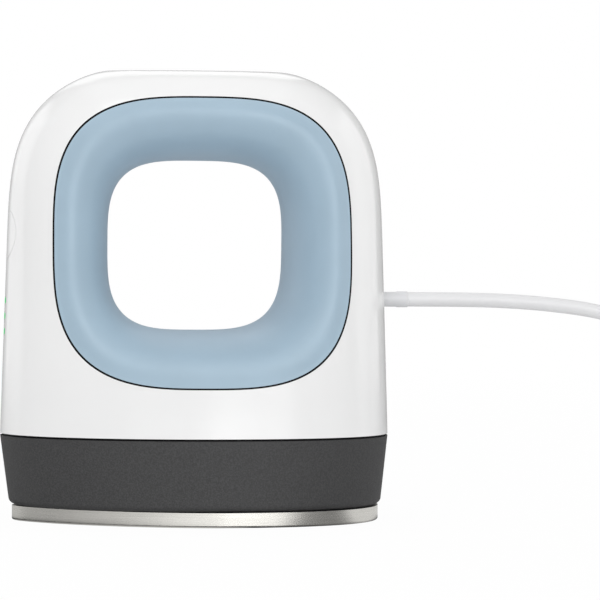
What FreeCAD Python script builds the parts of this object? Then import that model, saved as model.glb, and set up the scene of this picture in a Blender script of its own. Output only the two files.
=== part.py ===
import FreeCAD
import Part
import math
import os

from FreeCAD import Vector

# Mini handheld heat press, millimetres.
# +Z is up from the sole. X is the length: the narrow button end is at -X and the lead leaves at +X.
# Y is the thickness, with the parting plane of the casing at Y = 0. The origin is under the sole.

# ---------------------------------------------------------------- plan outline shared by all levels
plan_widest_x = 4.5          # station of the greatest thickness
nose_exponent = 1.95         # outline power towards the narrow button end
tail_exponent = 2.45         # outline power towards the fuller cord end
plan_points = 40             # stations round one outline

# ---------------------------------------------------------------- casing
casing_bottom_z = 19.5
casing_top_z = 100.7
casing_half_length = 43.7    # at the casing's lower edge
casing_half_thickness = 26.1
casing_end_taper = 0.0315    # loss of half length per mm of height
casing_wall = 2.0
crown_start_z = 60.5         # where the ends begin to round over
crown_flat_half_length = 19.7
crown_flat_half_thickness = 4.0
crown_length_power = 3.94
crown_length_root = 1.5
crown_thickness_power = 1.8
crown_thickness_root = 3.0
casing_levels = 16           # loft stations up the casing, closer towards the top

# ---------------------------------------------------------------- grip opening and its funnels
grip_centre_z = 62.3
grip_half_width = 32.95
grip_half_height = 32.15
grip_exponent = 3.14
throat_centre_z = 61.65
throat_half_width = 19.95
throat_half_height = 19.1
throat_exponent = 3.4
grip_wall = 1.8              # funnel wall at the throat
grip_lip_width = 3.0         # band that follows the casing surface
grip_lip_depth = 2.4
grip_points = 48
roll_steps = 6
seal_width = 0.4
seal_recess = 0.15
seal_depth = 2.2

# ---------------------------------------------------------------- skirt, sole and the heater stack
sole_half_length = 41.6
sole_half_thickness = 24.4
sole_nose_exponent = 1.55    # more pointed than the casing's nose
sole_nose_trim = 0.6         # nose end, short of the half length
sole_thickness = 3.3
sole_edge_radius = 0.5
core_inset = 3.0             # raised heater bed, inside the sole's edge
core_top_z = 6.5
plate_gasket_thickness = 0.3
plate_gasket_inset = 0.9
plate_gasket_width = 1.9
skirt_top_z = 19.0
skirt_bottom_half_length = 42.1
skirt_bottom_half_thickness = 25.0
skirt_bottom_nose_trim = 0.5
skirt_top_half_length = 43.7
skirt_top_half_thickness = 25.9
skirt_bottom_radius = 1.3
skirt_wall = 2.2
skirt_lip_height = 2.0
core_gap = 0.4               # between the heater bed and the skirt's lip
ledge_width = 2.4            # carries the inner frame
ledge_height = 2.0
seam_seal_recess = 0.7
seam_seal_width = 1.2
stack_clearance = 0.2
element_half_length = 31.0
element_half_width = 13.0
element_thickness = 1.5
clamp_half_length = 36.5
clamp_half_width = 20.0
clamp_thickness = 1.5
insulation_thickness = 3.0
shield_half_length = 37.5
shield_half_width = 20.8
shield_thickness = 0.8
window_length = 18.0         # opening in the stack for the sensors
window_width = 10.0
sensor_radius = 1.6
thermistor_length = 6.0
thermal_fuse_length = 10.0
sensor_spacing = 2.5         # sensor axis from the middle plane
clip_length = 4.0
clip_gauge = 0.5
clip_side_clearance = 0.1
wire_x = -21.0               # heater wires, up through the stack
wire_y = 4.0
wire_hole_radius = 1.5
edge_steps = 4               # loft steps over a rounded lower edge

# ---------------------------------------------------------------- inner frame
frame_thickness = 2.0
frame_gap = 0.4
frame_upstand_inset = 4.4
frame_upstand_wall = 1.4
frame_flange_height = 1.8
groove_lower_height = 0.6    # casing rib under the frame's flange
groove_upper_height = 1.5    # casing rib over the frame's flange
groove_reach = 1.6
groove_clearance = 0.2
rib_root = 0.3               # rib sunk into the casing wall
frame_slot_length = 26.0
frame_slot_width = 11.0
frame_slot_x = -14.0

# ---------------------------------------------------------------- fasteners
plate_screw_nose_x = -21.5
plate_screw_tail_x = 27.0
plate_screw_y = 11.0
plate_screw_radius = 1.5
plate_screw_head_radius = 2.6
plate_screw_head_height = 1.8
plate_screw_tip_z = 3.6
screw_tip_gap = 0.4          # bore left beyond a screw's tip
plate_spacer_wall = 1.6
screw_clearance = 0.05
casing_screw_radius = 1.2
casing_screw_head_radius = 2.1
casing_screw_head_height = 1.7
casing_screw_depth = 6.0     # below the parting plane, into the front boss
casing_head_seat = 3.0       # head seat behind the parting plane
head_side_clearance = 0.15
casing_boss_radius = 2.5
upper_boss_x = 29.5
upper_boss_z = 90.5
lower_boss_x = 35.5
lower_boss_z = 28.0
board_screw_radius = 1.0
board_screw_head_radius = 1.8
board_screw_head_height = 1.2
board_screw_tip_height = 0.5 # tip above the frame's plate

# ---------------------------------------------------------------- power board
board_thickness = 1.6
board_seat_z = 23.0
board_min_x = -17.0
board_max_x = 23.0
board_half_width = 14.0
board_post_radius = 2.0
board_post_inset_x = 3.2
board_post_y = 11.5
terminal_depth = 8.0
terminal_half_width = 5.0
terminal_height = 8.0
mains_terminal_max_x = 22.0
heater_terminal_min_x = -15.0
conductor_offset = 2.5       # conductor from the middle plane, at the terminals
transformer_x = 1.5
transformer_length = 13.0
transformer_width = 9.0
transformer_height = 9.5
bobbin_length = 16.0
bobbin_width = 12.0
bobbin_height = 3.0
filter_x = 3.5
filter_y = -10.25
filter_length = 13.0
filter_width = 5.5
filter_height = 8.0
smoothing_x = -7.5
smoothing_y = 10.2
smoothing_radius = 3.2
smoothing_height = 9.0
fuse_x = 5.5
fuse_y = 10.5
fuse_radius = 2.2
fuse_height = 7.0
heatsink_face_x = -9.5
heatsink_y = -9.8
heatsink_thickness = 2.0
heatsink_width = 6.4
heatsink_height = 9.5
triac_y = -10.5
triac_length = 4.5
triac_width = 4.0
triac_height = 8.0

# ---------------------------------------------------------------- button end
button_z = 63.9
button_radius = 5.75
button_gap = 0.15
button_back_x = -35.6
button_crown_x = -39.5       # bottom of the hollow behind the button's face
button_skirt_wall = 1.1
button_flange_radius = 6.7
button_flange_thickness = 1.0
button_stem_radius = 1.8
button_travel = 0.6
guide_running_clearance = 0.08
guide_outer_radius = 8.0
guide_side_clearance = 0.3
guide_ear_reach = 4.2
guide_ear_half_width = 3.0
guide_ear_thickness = 2.0
guide_screw_offset = 10.2
guide_screw_radius = 0.75
guide_screw_head_radius = 1.4
guide_screw_head_height = 1.0
guide_screw_tip_depth = 0.2  # tip short of the ear's far face
control_board_x = -32.0
control_board_half_width = 9.0
control_board_min_z = 38.0
control_board_max_z = 78.0
rail_height = 3.0
rail_end_margin = 1.0
rail_half_length = 1.6
rail_slot_clearance = 0.15
rail_start_y = 8.0
switch_size = 6.0
switch_height = 3.5
plunger_radius = 1.7
plunger_pressed_height = 0.4 # left outside the switch when the button is fully in
plunger_bore_clearance = 0.08
plunger_inner_length = 0.9
plunger_end_clearance = 0.3  # below the pressed plunger
led_pitch = 3.45
led_top_z = 49.1
led_count = 3
led_half_width = 2.0
led_half_height = 0.675
led_window_back_x = -33.2
led_window_clearance = 0.05
led_chip_thickness = 0.6
led_chip_half_width = 1.0
led_chip_half_height = 0.6
chip_z = 68.0
chip_half_size = 3.5
chip_thickness = 1.2

# ---------------------------------------------------------------- cord end
cord_exit_z = 49.6
cord_radius = 1.65
cap_radius = 5.6
cap_gap = 0.1
cap_back_x = 37.5
cap_flange_radius = 7.2
cap_dish_radius = 4.4
cap_dish_depth = 0.8
relief_radius = 1.7
relief_end_x = 48.8
relief_flange_radius = 3.4
relief_flange_thickness = 1.8
relief_seat_gap = 0.2
relief_bore_clearance = 0.05
relief_groove_count = 3
relief_groove_width = 0.35
relief_groove_pitch = 0.8
relief_groove_depth = 0.25

# ---------------------------------------------------------------- inner wiring
link_min_y = 5.4             # low side of the two link sockets
link_depth = 3.6
board_socket_min_x = -16.5
board_socket_length = 4.0
board_socket_height = 3.6
link_socket_height = 4.0
link_socket_thickness = 3.0
link_socket_gap = 0.6        # over the control board's lower rail
link_wire_radius = 0.45
link_wire_count = 3
link_wire_pitch = 1.2
link_wire_z = 2.0            # over the foot of each socket
link_wire_run = 4.0          # straight run out of the board's socket
link_wire_reach = 3.2        # straight run out of the control board's socket
link_bend_x = -23.4
link_bend_z = 36.0
mains_wire_radius = 0.8
mains_exit_offset = 1.2      # conductor from the middle plane, at the cord
mains_exit_x = 32.0
mains_bends = [(29.2, 1.7, 43.0), (28.4, 2.2, 34.5)]
mains_terminal_run = 4.0     # straight run into the terminal
heater_wire_run = 2.6        # bend over the frame's slot
sensor_wire_radius = 0.5
sensor_wire_inset = 1.2      # wires from the window's end
sensor_bend_x = -24.0
sensor_rise_x = -25.2
sensor_rise_z = 32.0
sensor_wire_run = 3.0        # straight run into the control board
sensor_wire_height = 4.0     # over the control board's lower edge

# ---------------------------------------------------------------- lead outside the casing
cord_route = [
    (48.8, 0.0, 49.6), (58.7, 0.0, 49.6), (70.4, 0.0, 49.4), (82.1, 0.0, 48.6), (94.0, -0.4, 47.0),
    (106.0, -1.8, 43.2), (116.5, -4.4, 36.3), (125.0, -8.0, 27.2), (133.0, -12.0, 17.2),
    (141.0, -16.6, 9.6), (149.5, -21.0, 4.4), (158.4, -23.95, 1.65), (167.4, -23.95, 1.65),
]
coil_centre_x = 180.0
coil_mean_radius = 19.0
coil_band_width = 13.2
coil_height = 12.0
cord_length = 1800.0
plug_face_x = 197.0
plug_centre_y = -12.0
plug_width = 17.0
plug_height = 12.0
plug_corner_radius = 3.0
plug_profile = [             # distance behind the face, share of the width, share of the height
    (0.0, 1.0, 1.0), (4.0, 1.0, 1.0), (5.0, 0.93, 0.93), (6.6, 0.86, 0.90), (15.3, 0.77, 0.83),
    (16.7, 0.70, 0.80), (18.3, 0.50, 0.70), (19.7, 0.38, 0.54), (20.7, 0.345, 0.49), (26.0, 0.285, 0.405),
]
plug_groove_start = 7.3      # first finger groove, behind the face
plug_groove_count = 3
plug_groove_pitch = 3.2
plug_groove_width = 0.9
plug_groove_depth = 0.35
blade_length = 16.0
blade_height = 6.3
blade_gauge = 1.5
blade_spacing = 12.7

reach = 60.0                 # longer than any half size of the object
overcut = 1.0                # how far a cutter passes the face that it opens
full_turn = 2.0 * math.pi

axis_x = Vector(1, 0, 0)
axis_y = Vector(0, 1, 0)
axis_z = Vector(0, 0, 1)
origin = Vector(0, 0, 0)


# ---------------------------------------------------------------- outline helpers
def plan_radius(angle, half_length, half_thickness, nose_power, nose_trim):
    """Distance from the plan's widest station to its outline, in direction angle."""
    tail = math.cos(angle) >= 0
    length = half_length - plan_widest_x if tail else half_length + plan_widest_x - nose_trim
    power = tail_exponent if tail else nose_power
    along = abs(math.cos(angle) / length) ** power
    across = abs(math.sin(angle) / half_thickness) ** power
    return (along + across) ** (-1.0 / power)


def plan_wire(z, half_length, half_thickness, nose_power=nose_exponent, nose_trim=0.0):
    """Closed plan outline at height z."""
    points = []
    for i in range(plan_points):
        angle = full_turn * (i / plan_points + 0.25)
        radius = plan_radius(angle, half_length, half_thickness, nose_power, nose_trim)
        points.append(Vector(plan_widest_x + radius * math.cos(angle), radius * math.sin(angle), z))
    curve = Part.BSplineCurve()
    curve.interpolate(Points=points, PeriodicFlag=True)
    return Part.Wire([curve.toShape()])


def plan_loft(stations, ruled=False):
    """Solid through plan outlines, given as (z, half length, half thickness, nose power, nose trim)."""
    wires = [plan_wire(*station) for station in stations]
    return Part.makeLoft(wires, True, ruled)


def plan_slab(low_z, high_z, half_length, half_thickness, nose=(nose_exponent, 0.0)):
    """Straight-sided slab with the plan outline."""
    return plan_loft([(z, half_length, half_thickness) + nose for z in (low_z, high_z)], True)


def plan_ring(low_z, high_z, half_length, half_thickness, width, nose=(nose_exponent, 0.0)):
    """Straight-sided closed band of the given width, inside the plan outline."""
    outer = plan_slab(low_z, high_z, half_length, half_thickness, nose)
    return outer.cut(plan_slab(low_z - overcut, high_z + overcut, half_length - width,
                               half_thickness - width, nose))


def casing_half_sizes(z):
    """Half length and half thickness of the casing's outer surface at height z."""
    taper = casing_half_length - casing_end_taper * (z - casing_bottom_z)
    end_share = min(max((z - crown_start_z) / (casing_top_z - crown_start_z), 0.0), 1.0)
    side_share = min(max((z - casing_bottom_z) / (casing_top_z - casing_bottom_z), 0.0), 1.0)
    end_round = (1.0 - end_share ** crown_length_power) ** (1.0 / crown_length_root)
    side_round = (1.0 - side_share ** crown_thickness_power) ** (1.0 / crown_thickness_root)
    half_length = crown_flat_half_length + (taper - crown_flat_half_length) * end_round
    side = casing_half_thickness - crown_flat_half_thickness
    return half_length, crown_flat_half_thickness + side * side_round


def casing_depth(x, z):
    """Distance of the casing's outer surface from the parting plane at (x, z)."""
    half_length, half_thickness = casing_half_sizes(z)
    tail = x >= plan_widest_x
    length = half_length - plan_widest_x if tail else half_length + plan_widest_x
    power = tail_exponent if tail else nose_exponent
    share = min(abs(x - plan_widest_x) / length, 1.0)
    return half_thickness * (1.0 - share ** power) ** (1.0 / power)


def casing_solid(inset, skirt_depth=0.0):
    """Casing volume, shrunk by inset and extended down by skirt_depth."""
    stations = []
    if skirt_depth > 0:
        low_z = casing_bottom_z - skirt_depth
        stations.append((low_z, casing_half_length - inset, casing_half_thickness - inset))
    for i in range(casing_levels + 1):
        share = 1.0 - (1.0 - i / casing_levels) ** crown_thickness_root
        outer_z = casing_bottom_z + share * (casing_top_z - casing_bottom_z)
        half_length, half_thickness = casing_half_sizes(outer_z)
        z = casing_bottom_z + share * (casing_top_z - inset - casing_bottom_z)
        stations.append((z, half_length - inset, half_thickness - inset))
    return plan_loft(stations)


def squircle_radius(angle, half_width, half_height, exponent):
    across = abs(math.cos(angle) / half_width) ** exponent
    upward = abs(math.sin(angle) / half_height) ** exponent
    return (across + upward) ** (-1.0 / exponent)


def grip_radius(angle, inset):
    return squircle_radius(angle, grip_half_width - inset, grip_half_height - inset, grip_exponent)


def throat_radius(angle, outset):
    return squircle_radius(angle, throat_half_width + outset, throat_half_height + outset, throat_exponent)


def grip_point(angle, radius, y, centre_z=grip_centre_z):
    return Vector(radius * math.cos(angle), y, centre_z + radius * math.sin(angle))


def grip_loop(radius_at, depth_at, centre_z=grip_centre_z):
    """Closed curve round the grip, from a radius and a depth for each direction."""
    points = []
    for i in range(grip_points):
        angle = full_turn * i / grip_points
        radius = radius_at(angle)
        points.append(grip_point(angle, radius, -depth_at(angle, radius), centre_z))
    curve = Part.BSplineCurve()
    curve.interpolate(Points=points, PeriodicFlag=True)
    return Part.Wire([curve.toShape()])


def grip_prism(inset):
    """Straight prism along Y with the grip opening's outline."""
    wire = grip_loop(lambda angle: grip_radius(angle, inset), lambda angle, radius: -reach)
    return Part.Face(wire).extrude(Vector(0, -2 * reach, 0))


def box(low, high):
    return Part.makeBox(high[0] - low[0], high[1] - low[1], high[2] - low[2], Vector(*low))


def rod(radius, start, direction, length):
    return Part.makeCylinder(radius, length, Vector(*start), direction)


def fuse_all(shapes):
    return shapes[0].fuse(shapes[1:])


def mirrored_y(shape):
    return shape.mirror(origin, axis_y)


# ---------------------------------------------------------------- bent wire and lead helper
def bent_path(points):
    """Straight runs joined by tangent arcs, each as large as its two runs allow."""
    nodes = [Vector(*point) for point in points]
    edges = []
    radii = []
    start = nodes[0]
    for before, corner, after in zip(nodes, nodes[1:], nodes[2:]):
        into = corner.sub(before)
        out_of = after.sub(corner)
        turn = into.getAngle(out_of)
        trim = 0.45 * min(into.Length, out_of.Length)
        radii.append(trim / math.tan(0.5 * turn))
        into.normalize()
        out_of.normalize()
        first = corner.sub(into.multiply(trim))
        last = corner.add(out_of.multiply(trim))
        bisector = first.add(last).multiply(0.5).sub(corner)
        sagitta = radii[-1] * (1.0 / math.cos(0.5 * turn) - 1.0)
        middle = corner.add(bisector.normalize().multiply(sagitta))
        edges.append(Part.LineSegment(start, first).toShape())
        edges.append(Part.Arc(first, middle, last).toShape())
        start = last
    edges.append(Part.LineSegment(start, nodes[-1]).toShape())
    return Part.Wire(edges), radii


def bent_rod(points, radius):
    """Round bar along a bent path, with the path's length and its arc radii."""
    path, radii = bent_path(points)
    heading = Vector(*points[1]).sub(Vector(*points[0]))
    section = Part.Wire([Part.Circle(Vector(*points[0]), heading, radius).toShape()])
    solid = path.makePipeShell([section], True, False)
    return solid, path.Length, radii


nodes = {}

# ---------------------------------------------------------------- casing halves
casing_outer = casing_solid(0.0)
casing_inner = casing_solid(casing_wall, overcut)
opening_prism = grip_prism(0.0)

frame_floor_z = skirt_top_z - frame_thickness
flange_low_z = casing_bottom_z + groove_lower_height + groove_clearance
flange_high_z = flange_low_z + frame_flange_height
groove_high_z = flange_high_z + groove_clearance


def groove_rib(low_z, height):
    return plan_ring(low_z, low_z + height, casing_half_length - casing_wall + rib_root,
                     casing_half_thickness - casing_wall + rib_root, groove_reach + rib_root)


boss_places = [(x, z) for x, z in ((upper_boss_x, upper_boss_z), (lower_boss_x, lower_boss_z))]
boss_places += [(-x, z) for x, z in boss_places]


def board_rail(low_z):
    """Slotted block that holds one edge of the control board against the casing wall."""
    mid_x = control_board_x + 0.5 * board_thickness
    half = 0.5 * board_thickness + rail_half_length
    block = box((mid_x - half, rail_start_y, low_z), (mid_x + half, reach, low_z + rail_height))
    slot = box((control_board_x - rail_slot_clearance, 0, low_z - overcut),
               (control_board_x + board_thickness + rail_slot_clearance,
                control_board_half_width + rail_slot_clearance, low_z + rail_height + overcut))
    return block.cut(slot)


rails = [board_rail(control_board_min_z + rail_end_margin),
         board_rail(control_board_max_z - rail_end_margin - rail_height)]

casing_bore_radius = casing_screw_radius + screw_clearance
button_hole = rod(button_radius + button_gap, (-reach, 0, button_z), axis_x, reach + control_board_x)
cap_hole = rod(cap_radius + cap_gap, (cap_back_x, 0, cord_exit_z), axis_x, reach)


def led_bar(z, clearance, start_x, end_x):
    """Rounded window bar along X."""
    half_height = led_half_height + clearance
    flat = led_half_width - led_half_height
    core = box((start_x, -flat, z - half_height), (end_x, flat, z + half_height))
    ends = [rod(half_height, (start_x, side * flat, z), axis_x, end_x - start_x) for side in (-1, 1)]
    return fuse_all([core] + ends)


led_levels = [led_top_z - i * led_pitch for i in range(led_count)]
led_slots = [led_bar(z, led_window_clearance, -reach, led_window_back_x) for z in led_levels]

wall_shape = casing_outer.cut(casing_inner)
ribs = [groove_rib(low_z, height).common(casing_outer)
        for low_z, height in ((casing_bottom_z, groove_lower_height), (groove_high_z, groove_upper_height))]
boss_limit = casing_solid(0.5 * casing_wall)
boss_rods = [rod(casing_boss_radius, (x, 0, z), axis_y, reach).common(boss_limit) for x, z in boss_places]
rail_parts = [rail.common(boss_limit) for rail in rails]
end_cuts = [button_hole, cap_hole] + led_slots

rear_side = box((-reach, 0, 0), (reach, reach, 2 * reach))
rear_half = wall_shape.common(rear_side)
for additions in (boss_rods, rail_parts, [rib.common(rear_side) for rib in ribs]):
    rear_half = rear_half.fuse(additions)
for cutter in [opening_prism] + end_cuts:
    rear_half = rear_half.cut(cutter)

front_shell = mirrored_y(rear_half)
rear_shell = rear_half
for x, z in boss_places:
    bore_depth = casing_screw_depth + screw_tip_gap
    front_shell = front_shell.cut(rod(casing_bore_radius, (x, -bore_depth, z), axis_y, bore_depth))
    rear_shell = rear_shell.cut([
        rod(casing_bore_radius, (x, 0, z), axis_y, reach),
        rod(casing_screw_head_radius + head_side_clearance, (x, casing_head_seat, z), axis_y, reach)])
nodes["front_shell"] = front_shell
nodes["rear_shell"] = rear_shell

casing_screws = []
for x, z in boss_places:
    shank_length = casing_screw_depth + casing_head_seat
    shank = rod(casing_screw_radius, (x, -casing_screw_depth, z), axis_y, shank_length)
    head = rod(casing_screw_head_radius, (x, casing_head_seat, z), axis_y, casing_screw_head_height)
    casing_screws.append(shank.fuse(head).removeSplitter())
nodes["casing_screws"] = Part.makeCompound(casing_screws)


# ---------------------------------------------------------------- grip funnels and their seals
def funnel():
    """Front funnel: rolled face from throat to lip, closed by an offset back."""
    def lip_radius(angle):
        return grip_radius(angle, seal_width)

    def crease_radius(angle):
        return grip_radius(angle, seal_width + grip_lip_width)

    def surface_depth(angle, radius):
        point = grip_point(angle, radius, 0)
        return casing_depth(point.x, point.z)

    def roll_loop(inner_at, outer_at, depth_at, share):
        turn = 0.5 * math.pi * share
        spread = 1.0 - math.cos(turn)
        centre_z = throat_centre_z + (grip_centre_z - throat_centre_z) * spread

        def radius_at(angle):
            return inner_at(angle) + (outer_at(angle) - inner_at(angle)) * spread
        return grip_loop(radius_at, lambda angle, radius: depth_at(angle) * math.sin(turn), centre_z)

    face_loops = []
    back_loops = []
    for i in range(roll_steps + 1):
        share = i / roll_steps
        face_loops.append(roll_loop(lambda a: throat_radius(a, 0.0), crease_radius,
                                    lambda a: surface_depth(a, crease_radius(a)), share))
        back_loops.append(roll_loop(lambda a: throat_radius(a, grip_wall), lip_radius,
                                    lambda a: surface_depth(a, lip_radius(a)) - grip_lip_depth, share))
    for share in (0.5, 1.0):
        def band_radius(angle, share=share):
            return crease_radius(angle) + share * (lip_radius(angle) - crease_radius(angle))
        face_loops.append(grip_loop(band_radius, surface_depth))
    skins = [Part.makeLoft(face_loops, False, False), Part.makeLoft(back_loops, False, False)]
    skins.append(Part.makeLoft([face_loops[-1], back_loops[-1]], False, True))
    skins.append(Part.makeFace([back_loops[0], face_loops[0]], "Part::FaceMakerBullseye"))
    shell = Part.makeShell([face for skin in skins for face in skin.Faces])
    shell.sewShape()
    solid = Part.makeSolid(Part.makeShell(shell.Faces))
    if solid.Volume < 0:
        solid.reverse()
    return solid


front_ring = funnel()
nodes["front_grip_ring"] = front_ring
nodes["rear_grip_ring"] = mirrored_y(front_ring)

seal_band = opening_prism.cut(grip_prism(seal_width))
seal_band = seal_band.common(casing_solid(seal_recess)).cut(casing_solid(seal_depth))
front_seal = seal_band.common(box((-reach, -reach, 0), (reach, 0, 2 * reach)))
nodes["front_ring_seal"] = front_seal
nodes["rear_ring_seal"] = mirrored_y(front_seal)

# ---------------------------------------------------------------- sole plate
element_top_z = core_top_z + element_thickness
clamp_top_z = element_top_z + clamp_thickness
insulation_top_z = clamp_top_z + insulation_thickness
shield_top_z = insulation_top_z + shield_thickness
screw_places = [(x, side * plate_screw_y)
                for x in (plate_screw_nose_x, plate_screw_tail_x) for side in (-1, 1)]


def drill(shape, places, radius, low_z, high_z):
    return shape.cut([rod(radius, (x, y, low_z), axis_z, high_z - low_z) for x, y in places])


sole_nose = (sole_nose_exponent, sole_nose_trim)
rounding = []
for i in range(edge_steps):
    angle = 0.5 * math.pi * i / (edge_steps - 1)
    inset = sole_edge_radius * (1.0 - math.sin(angle))
    rounding.append((sole_edge_radius * (1.0 - math.cos(angle)), sole_half_length - inset,
                     sole_half_thickness - inset) + sole_nose)
sole_foot = plan_loft(rounding)
sole_slab = plan_slab(sole_edge_radius, sole_thickness, sole_half_length, sole_half_thickness, sole_nose)
core = plan_slab(sole_thickness, core_top_z, sole_half_length - core_inset,
                 sole_half_thickness - core_inset, sole_nose)
heat_plate = fuse_all([sole_foot, sole_slab, core])
screw_bore_radius = plate_screw_radius + screw_clearance
heat_plate = drill(heat_plate, screw_places, screw_bore_radius, plate_screw_tip_z - screw_tip_gap,
                   core_top_z + overcut)
nodes["heat_plate"] = heat_plate

skirt_bottom_z = sole_thickness + plate_gasket_thickness
nodes["plate_gasket"] = plan_ring(sole_thickness, skirt_bottom_z, sole_half_length - plate_gasket_inset,
                                  sole_half_thickness - plate_gasket_inset, plate_gasket_width, sole_nose)


# ---------------------------------------------------------------- skirt
def skirt_section(z, inset):
    """Skirt outline at height z, drawn in by inset, as one loft station."""
    share = (z - skirt_bottom_z) / (skirt_top_z - skirt_bottom_z)
    half_length = skirt_bottom_half_length + share * (skirt_top_half_length - skirt_bottom_half_length)
    growth = share * (skirt_top_half_thickness - skirt_bottom_half_thickness)
    half_thickness = skirt_bottom_half_thickness + growth
    nose_trim = skirt_bottom_nose_trim * (1.0 - share)
    return z, half_length - inset, half_thickness - inset, nose_exponent, nose_trim


edge_top_z = skirt_bottom_z + skirt_bottom_radius
skirt_edge = []
for i in range(edge_steps + 1):
    angle = 0.5 * math.pi * i / edge_steps
    z = skirt_bottom_z + skirt_bottom_radius * (1.0 - math.cos(angle))
    skirt_edge.append(skirt_section(z, skirt_bottom_radius * (1.0 - math.sin(angle))))
skirt_wall_body = plan_loft([skirt_section(edge_top_z, 0.0), skirt_section(skirt_top_z, 0.0)], True)
skirt_body = fuse_all([plan_loft(skirt_edge), skirt_wall_body])
lip_top_z = skirt_bottom_z + skirt_lip_height
ledge_low_z = frame_floor_z - ledge_height
ledge_inset = skirt_wall + ledge_width
cavity_parts = [
    plan_slab(skirt_bottom_z - overcut, lip_top_z + overcut, sole_half_length - core_inset + core_gap,
              sole_half_thickness - core_inset + core_gap, sole_nose),
    plan_loft([skirt_section(z, skirt_wall) for z in (lip_top_z, ledge_low_z)], True),
    plan_loft([skirt_section(ledge_low_z - overcut, ledge_inset),
               skirt_section(frame_floor_z + overcut, ledge_inset)], True),
    plan_loft([skirt_section(z, skirt_wall) for z in (frame_floor_z, skirt_top_z + overcut)], True),
]
nodes["base_skirt"] = skirt_body.cut(cavity_parts)
nodes["seam_seal"] = plan_ring(skirt_top_z, casing_bottom_z, skirt_top_half_length - seam_seal_recess,
                               skirt_top_half_thickness - seam_seal_recess, seam_seal_width)


# ---------------------------------------------------------------- heater stack
def sensor_window(low_z, high_z):
    return box((-0.5 * window_length, -0.5 * window_width, low_z),
               (0.5 * window_length, 0.5 * window_width, high_z))


wire_places = [(wire_x, side * wire_y) for side in (-1, 1)]
element = plan_slab(core_top_z, element_top_z, element_half_length, element_half_width)
nodes["heating_element"] = element.cut(sensor_window(0, reach))
clamp = plan_slab(element_top_z, clamp_top_z, clamp_half_length, clamp_half_width)
clamp = drill(clamp.cut(sensor_window(0, reach)), screw_places, screw_bore_radius, 0, reach)
nodes["element_clamp"] = drill(clamp, wire_places, wire_hole_radius, 0, reach)
insulation = plan_slab(clamp_top_z, insulation_top_z, clamp_half_length, clamp_half_width)
insulation = drill(insulation.cut(sensor_window(0, reach)), screw_places, screw_bore_radius, 0, reach)
nodes["insulation_pad"] = drill(insulation, wire_places, wire_hole_radius, 0, reach)
shield = plan_slab(insulation_top_z, shield_top_z, shield_half_length, shield_half_width)
shield = drill(shield, screw_places, screw_bore_radius, 0, reach)
shield = shield.cut(sensor_window(0, reach))
nodes["heat_shield"] = drill(shield, wire_places, wire_hole_radius, 0, reach)

spacers = []
plate_screws = []
spacer_radius = plate_screw_radius + plate_spacer_wall
for x, y in screw_places:
    tube = rod(spacer_radius, (x, y, shield_top_z), axis_z, frame_floor_z - shield_top_z)
    spacers.append(tube.cut(rod(screw_bore_radius, (x, y, 0), axis_z, reach)))
    shank = rod(plate_screw_radius, (x, y, plate_screw_tip_z), axis_z, skirt_top_z - plate_screw_tip_z)
    head = rod(plate_screw_head_radius, (x, y, skirt_top_z), axis_z, plate_screw_head_height)
    plate_screws.append(shank.fuse(head).removeSplitter())
nodes["plate_spacers"] = Part.makeCompound(spacers)
nodes["plate_screws"] = Part.makeCompound(plate_screws)

sensor_z = core_top_z + sensor_radius
nodes["thermistor"] = rod(sensor_radius, (-0.5 * thermistor_length, -sensor_spacing, sensor_z), axis_x,
                          thermistor_length)
nodes["thermal_fuse"] = rod(sensor_radius, (-0.5 * thermal_fuse_length, sensor_spacing, sensor_z), axis_x,
                            thermal_fuse_length)
clip_half_width = sensor_spacing + sensor_radius + clip_side_clearance
clip_top_z = core_top_z + 2 * sensor_radius
clip_bridge = box((-0.5 * clip_length, -clip_half_width - clip_gauge, clip_top_z),
                  (0.5 * clip_length, clip_half_width + clip_gauge, clip_top_z + clip_gauge))
clip_leg = box((-0.5 * clip_length, clip_half_width, core_top_z),
               (0.5 * clip_length, clip_half_width + clip_gauge, clip_top_z))
nodes["sensor_clip"] = fuse_all([clip_bridge, clip_leg, mirrored_y(clip_leg)])

# ---------------------------------------------------------------- inner frame
frame_inset = skirt_wall + frame_gap
frame_plate = plan_slab(frame_floor_z, skirt_top_z, skirt_top_half_length - frame_inset,
                        skirt_top_half_thickness - frame_inset)
upstand = plan_ring(skirt_top_z, flange_high_z, casing_half_length - frame_upstand_inset,
                    casing_half_thickness - frame_upstand_inset, frame_upstand_wall)
flange_inset = casing_wall + stack_clearance
flange_width = frame_upstand_inset + frame_upstand_wall - flange_inset
flange = plan_ring(flange_low_z, flange_high_z, casing_half_length - flange_inset,
                   casing_half_thickness - flange_inset, flange_width)
post_places = [(x, side * board_post_y)
               for x in (board_min_x + board_post_inset_x, board_max_x - board_post_inset_x)
               for side in (-1, 1)]
post_height = board_seat_z - skirt_top_z
posts = [rod(board_post_radius, (x, y, skirt_top_z), axis_z, post_height) for x, y in post_places]
frame_slot = box((frame_slot_x - 0.5 * frame_slot_length, -0.5 * frame_slot_width, frame_floor_z - overcut),
                 (frame_slot_x + 0.5 * frame_slot_length, 0.5 * frame_slot_width, skirt_top_z + overcut))
inner_frame = fuse_all([frame_plate, upstand, flange] + posts).cut(frame_slot)
inner_frame = drill(inner_frame, screw_places, screw_bore_radius, 0, skirt_top_z + overcut)
board_bore_radius = board_screw_radius + screw_clearance
board_screw_tip_z = skirt_top_z + board_screw_tip_height
inner_frame = drill(inner_frame, post_places, board_bore_radius, board_screw_tip_z, board_seat_z + overcut)
nodes["inner_frame"] = inner_frame

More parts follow.
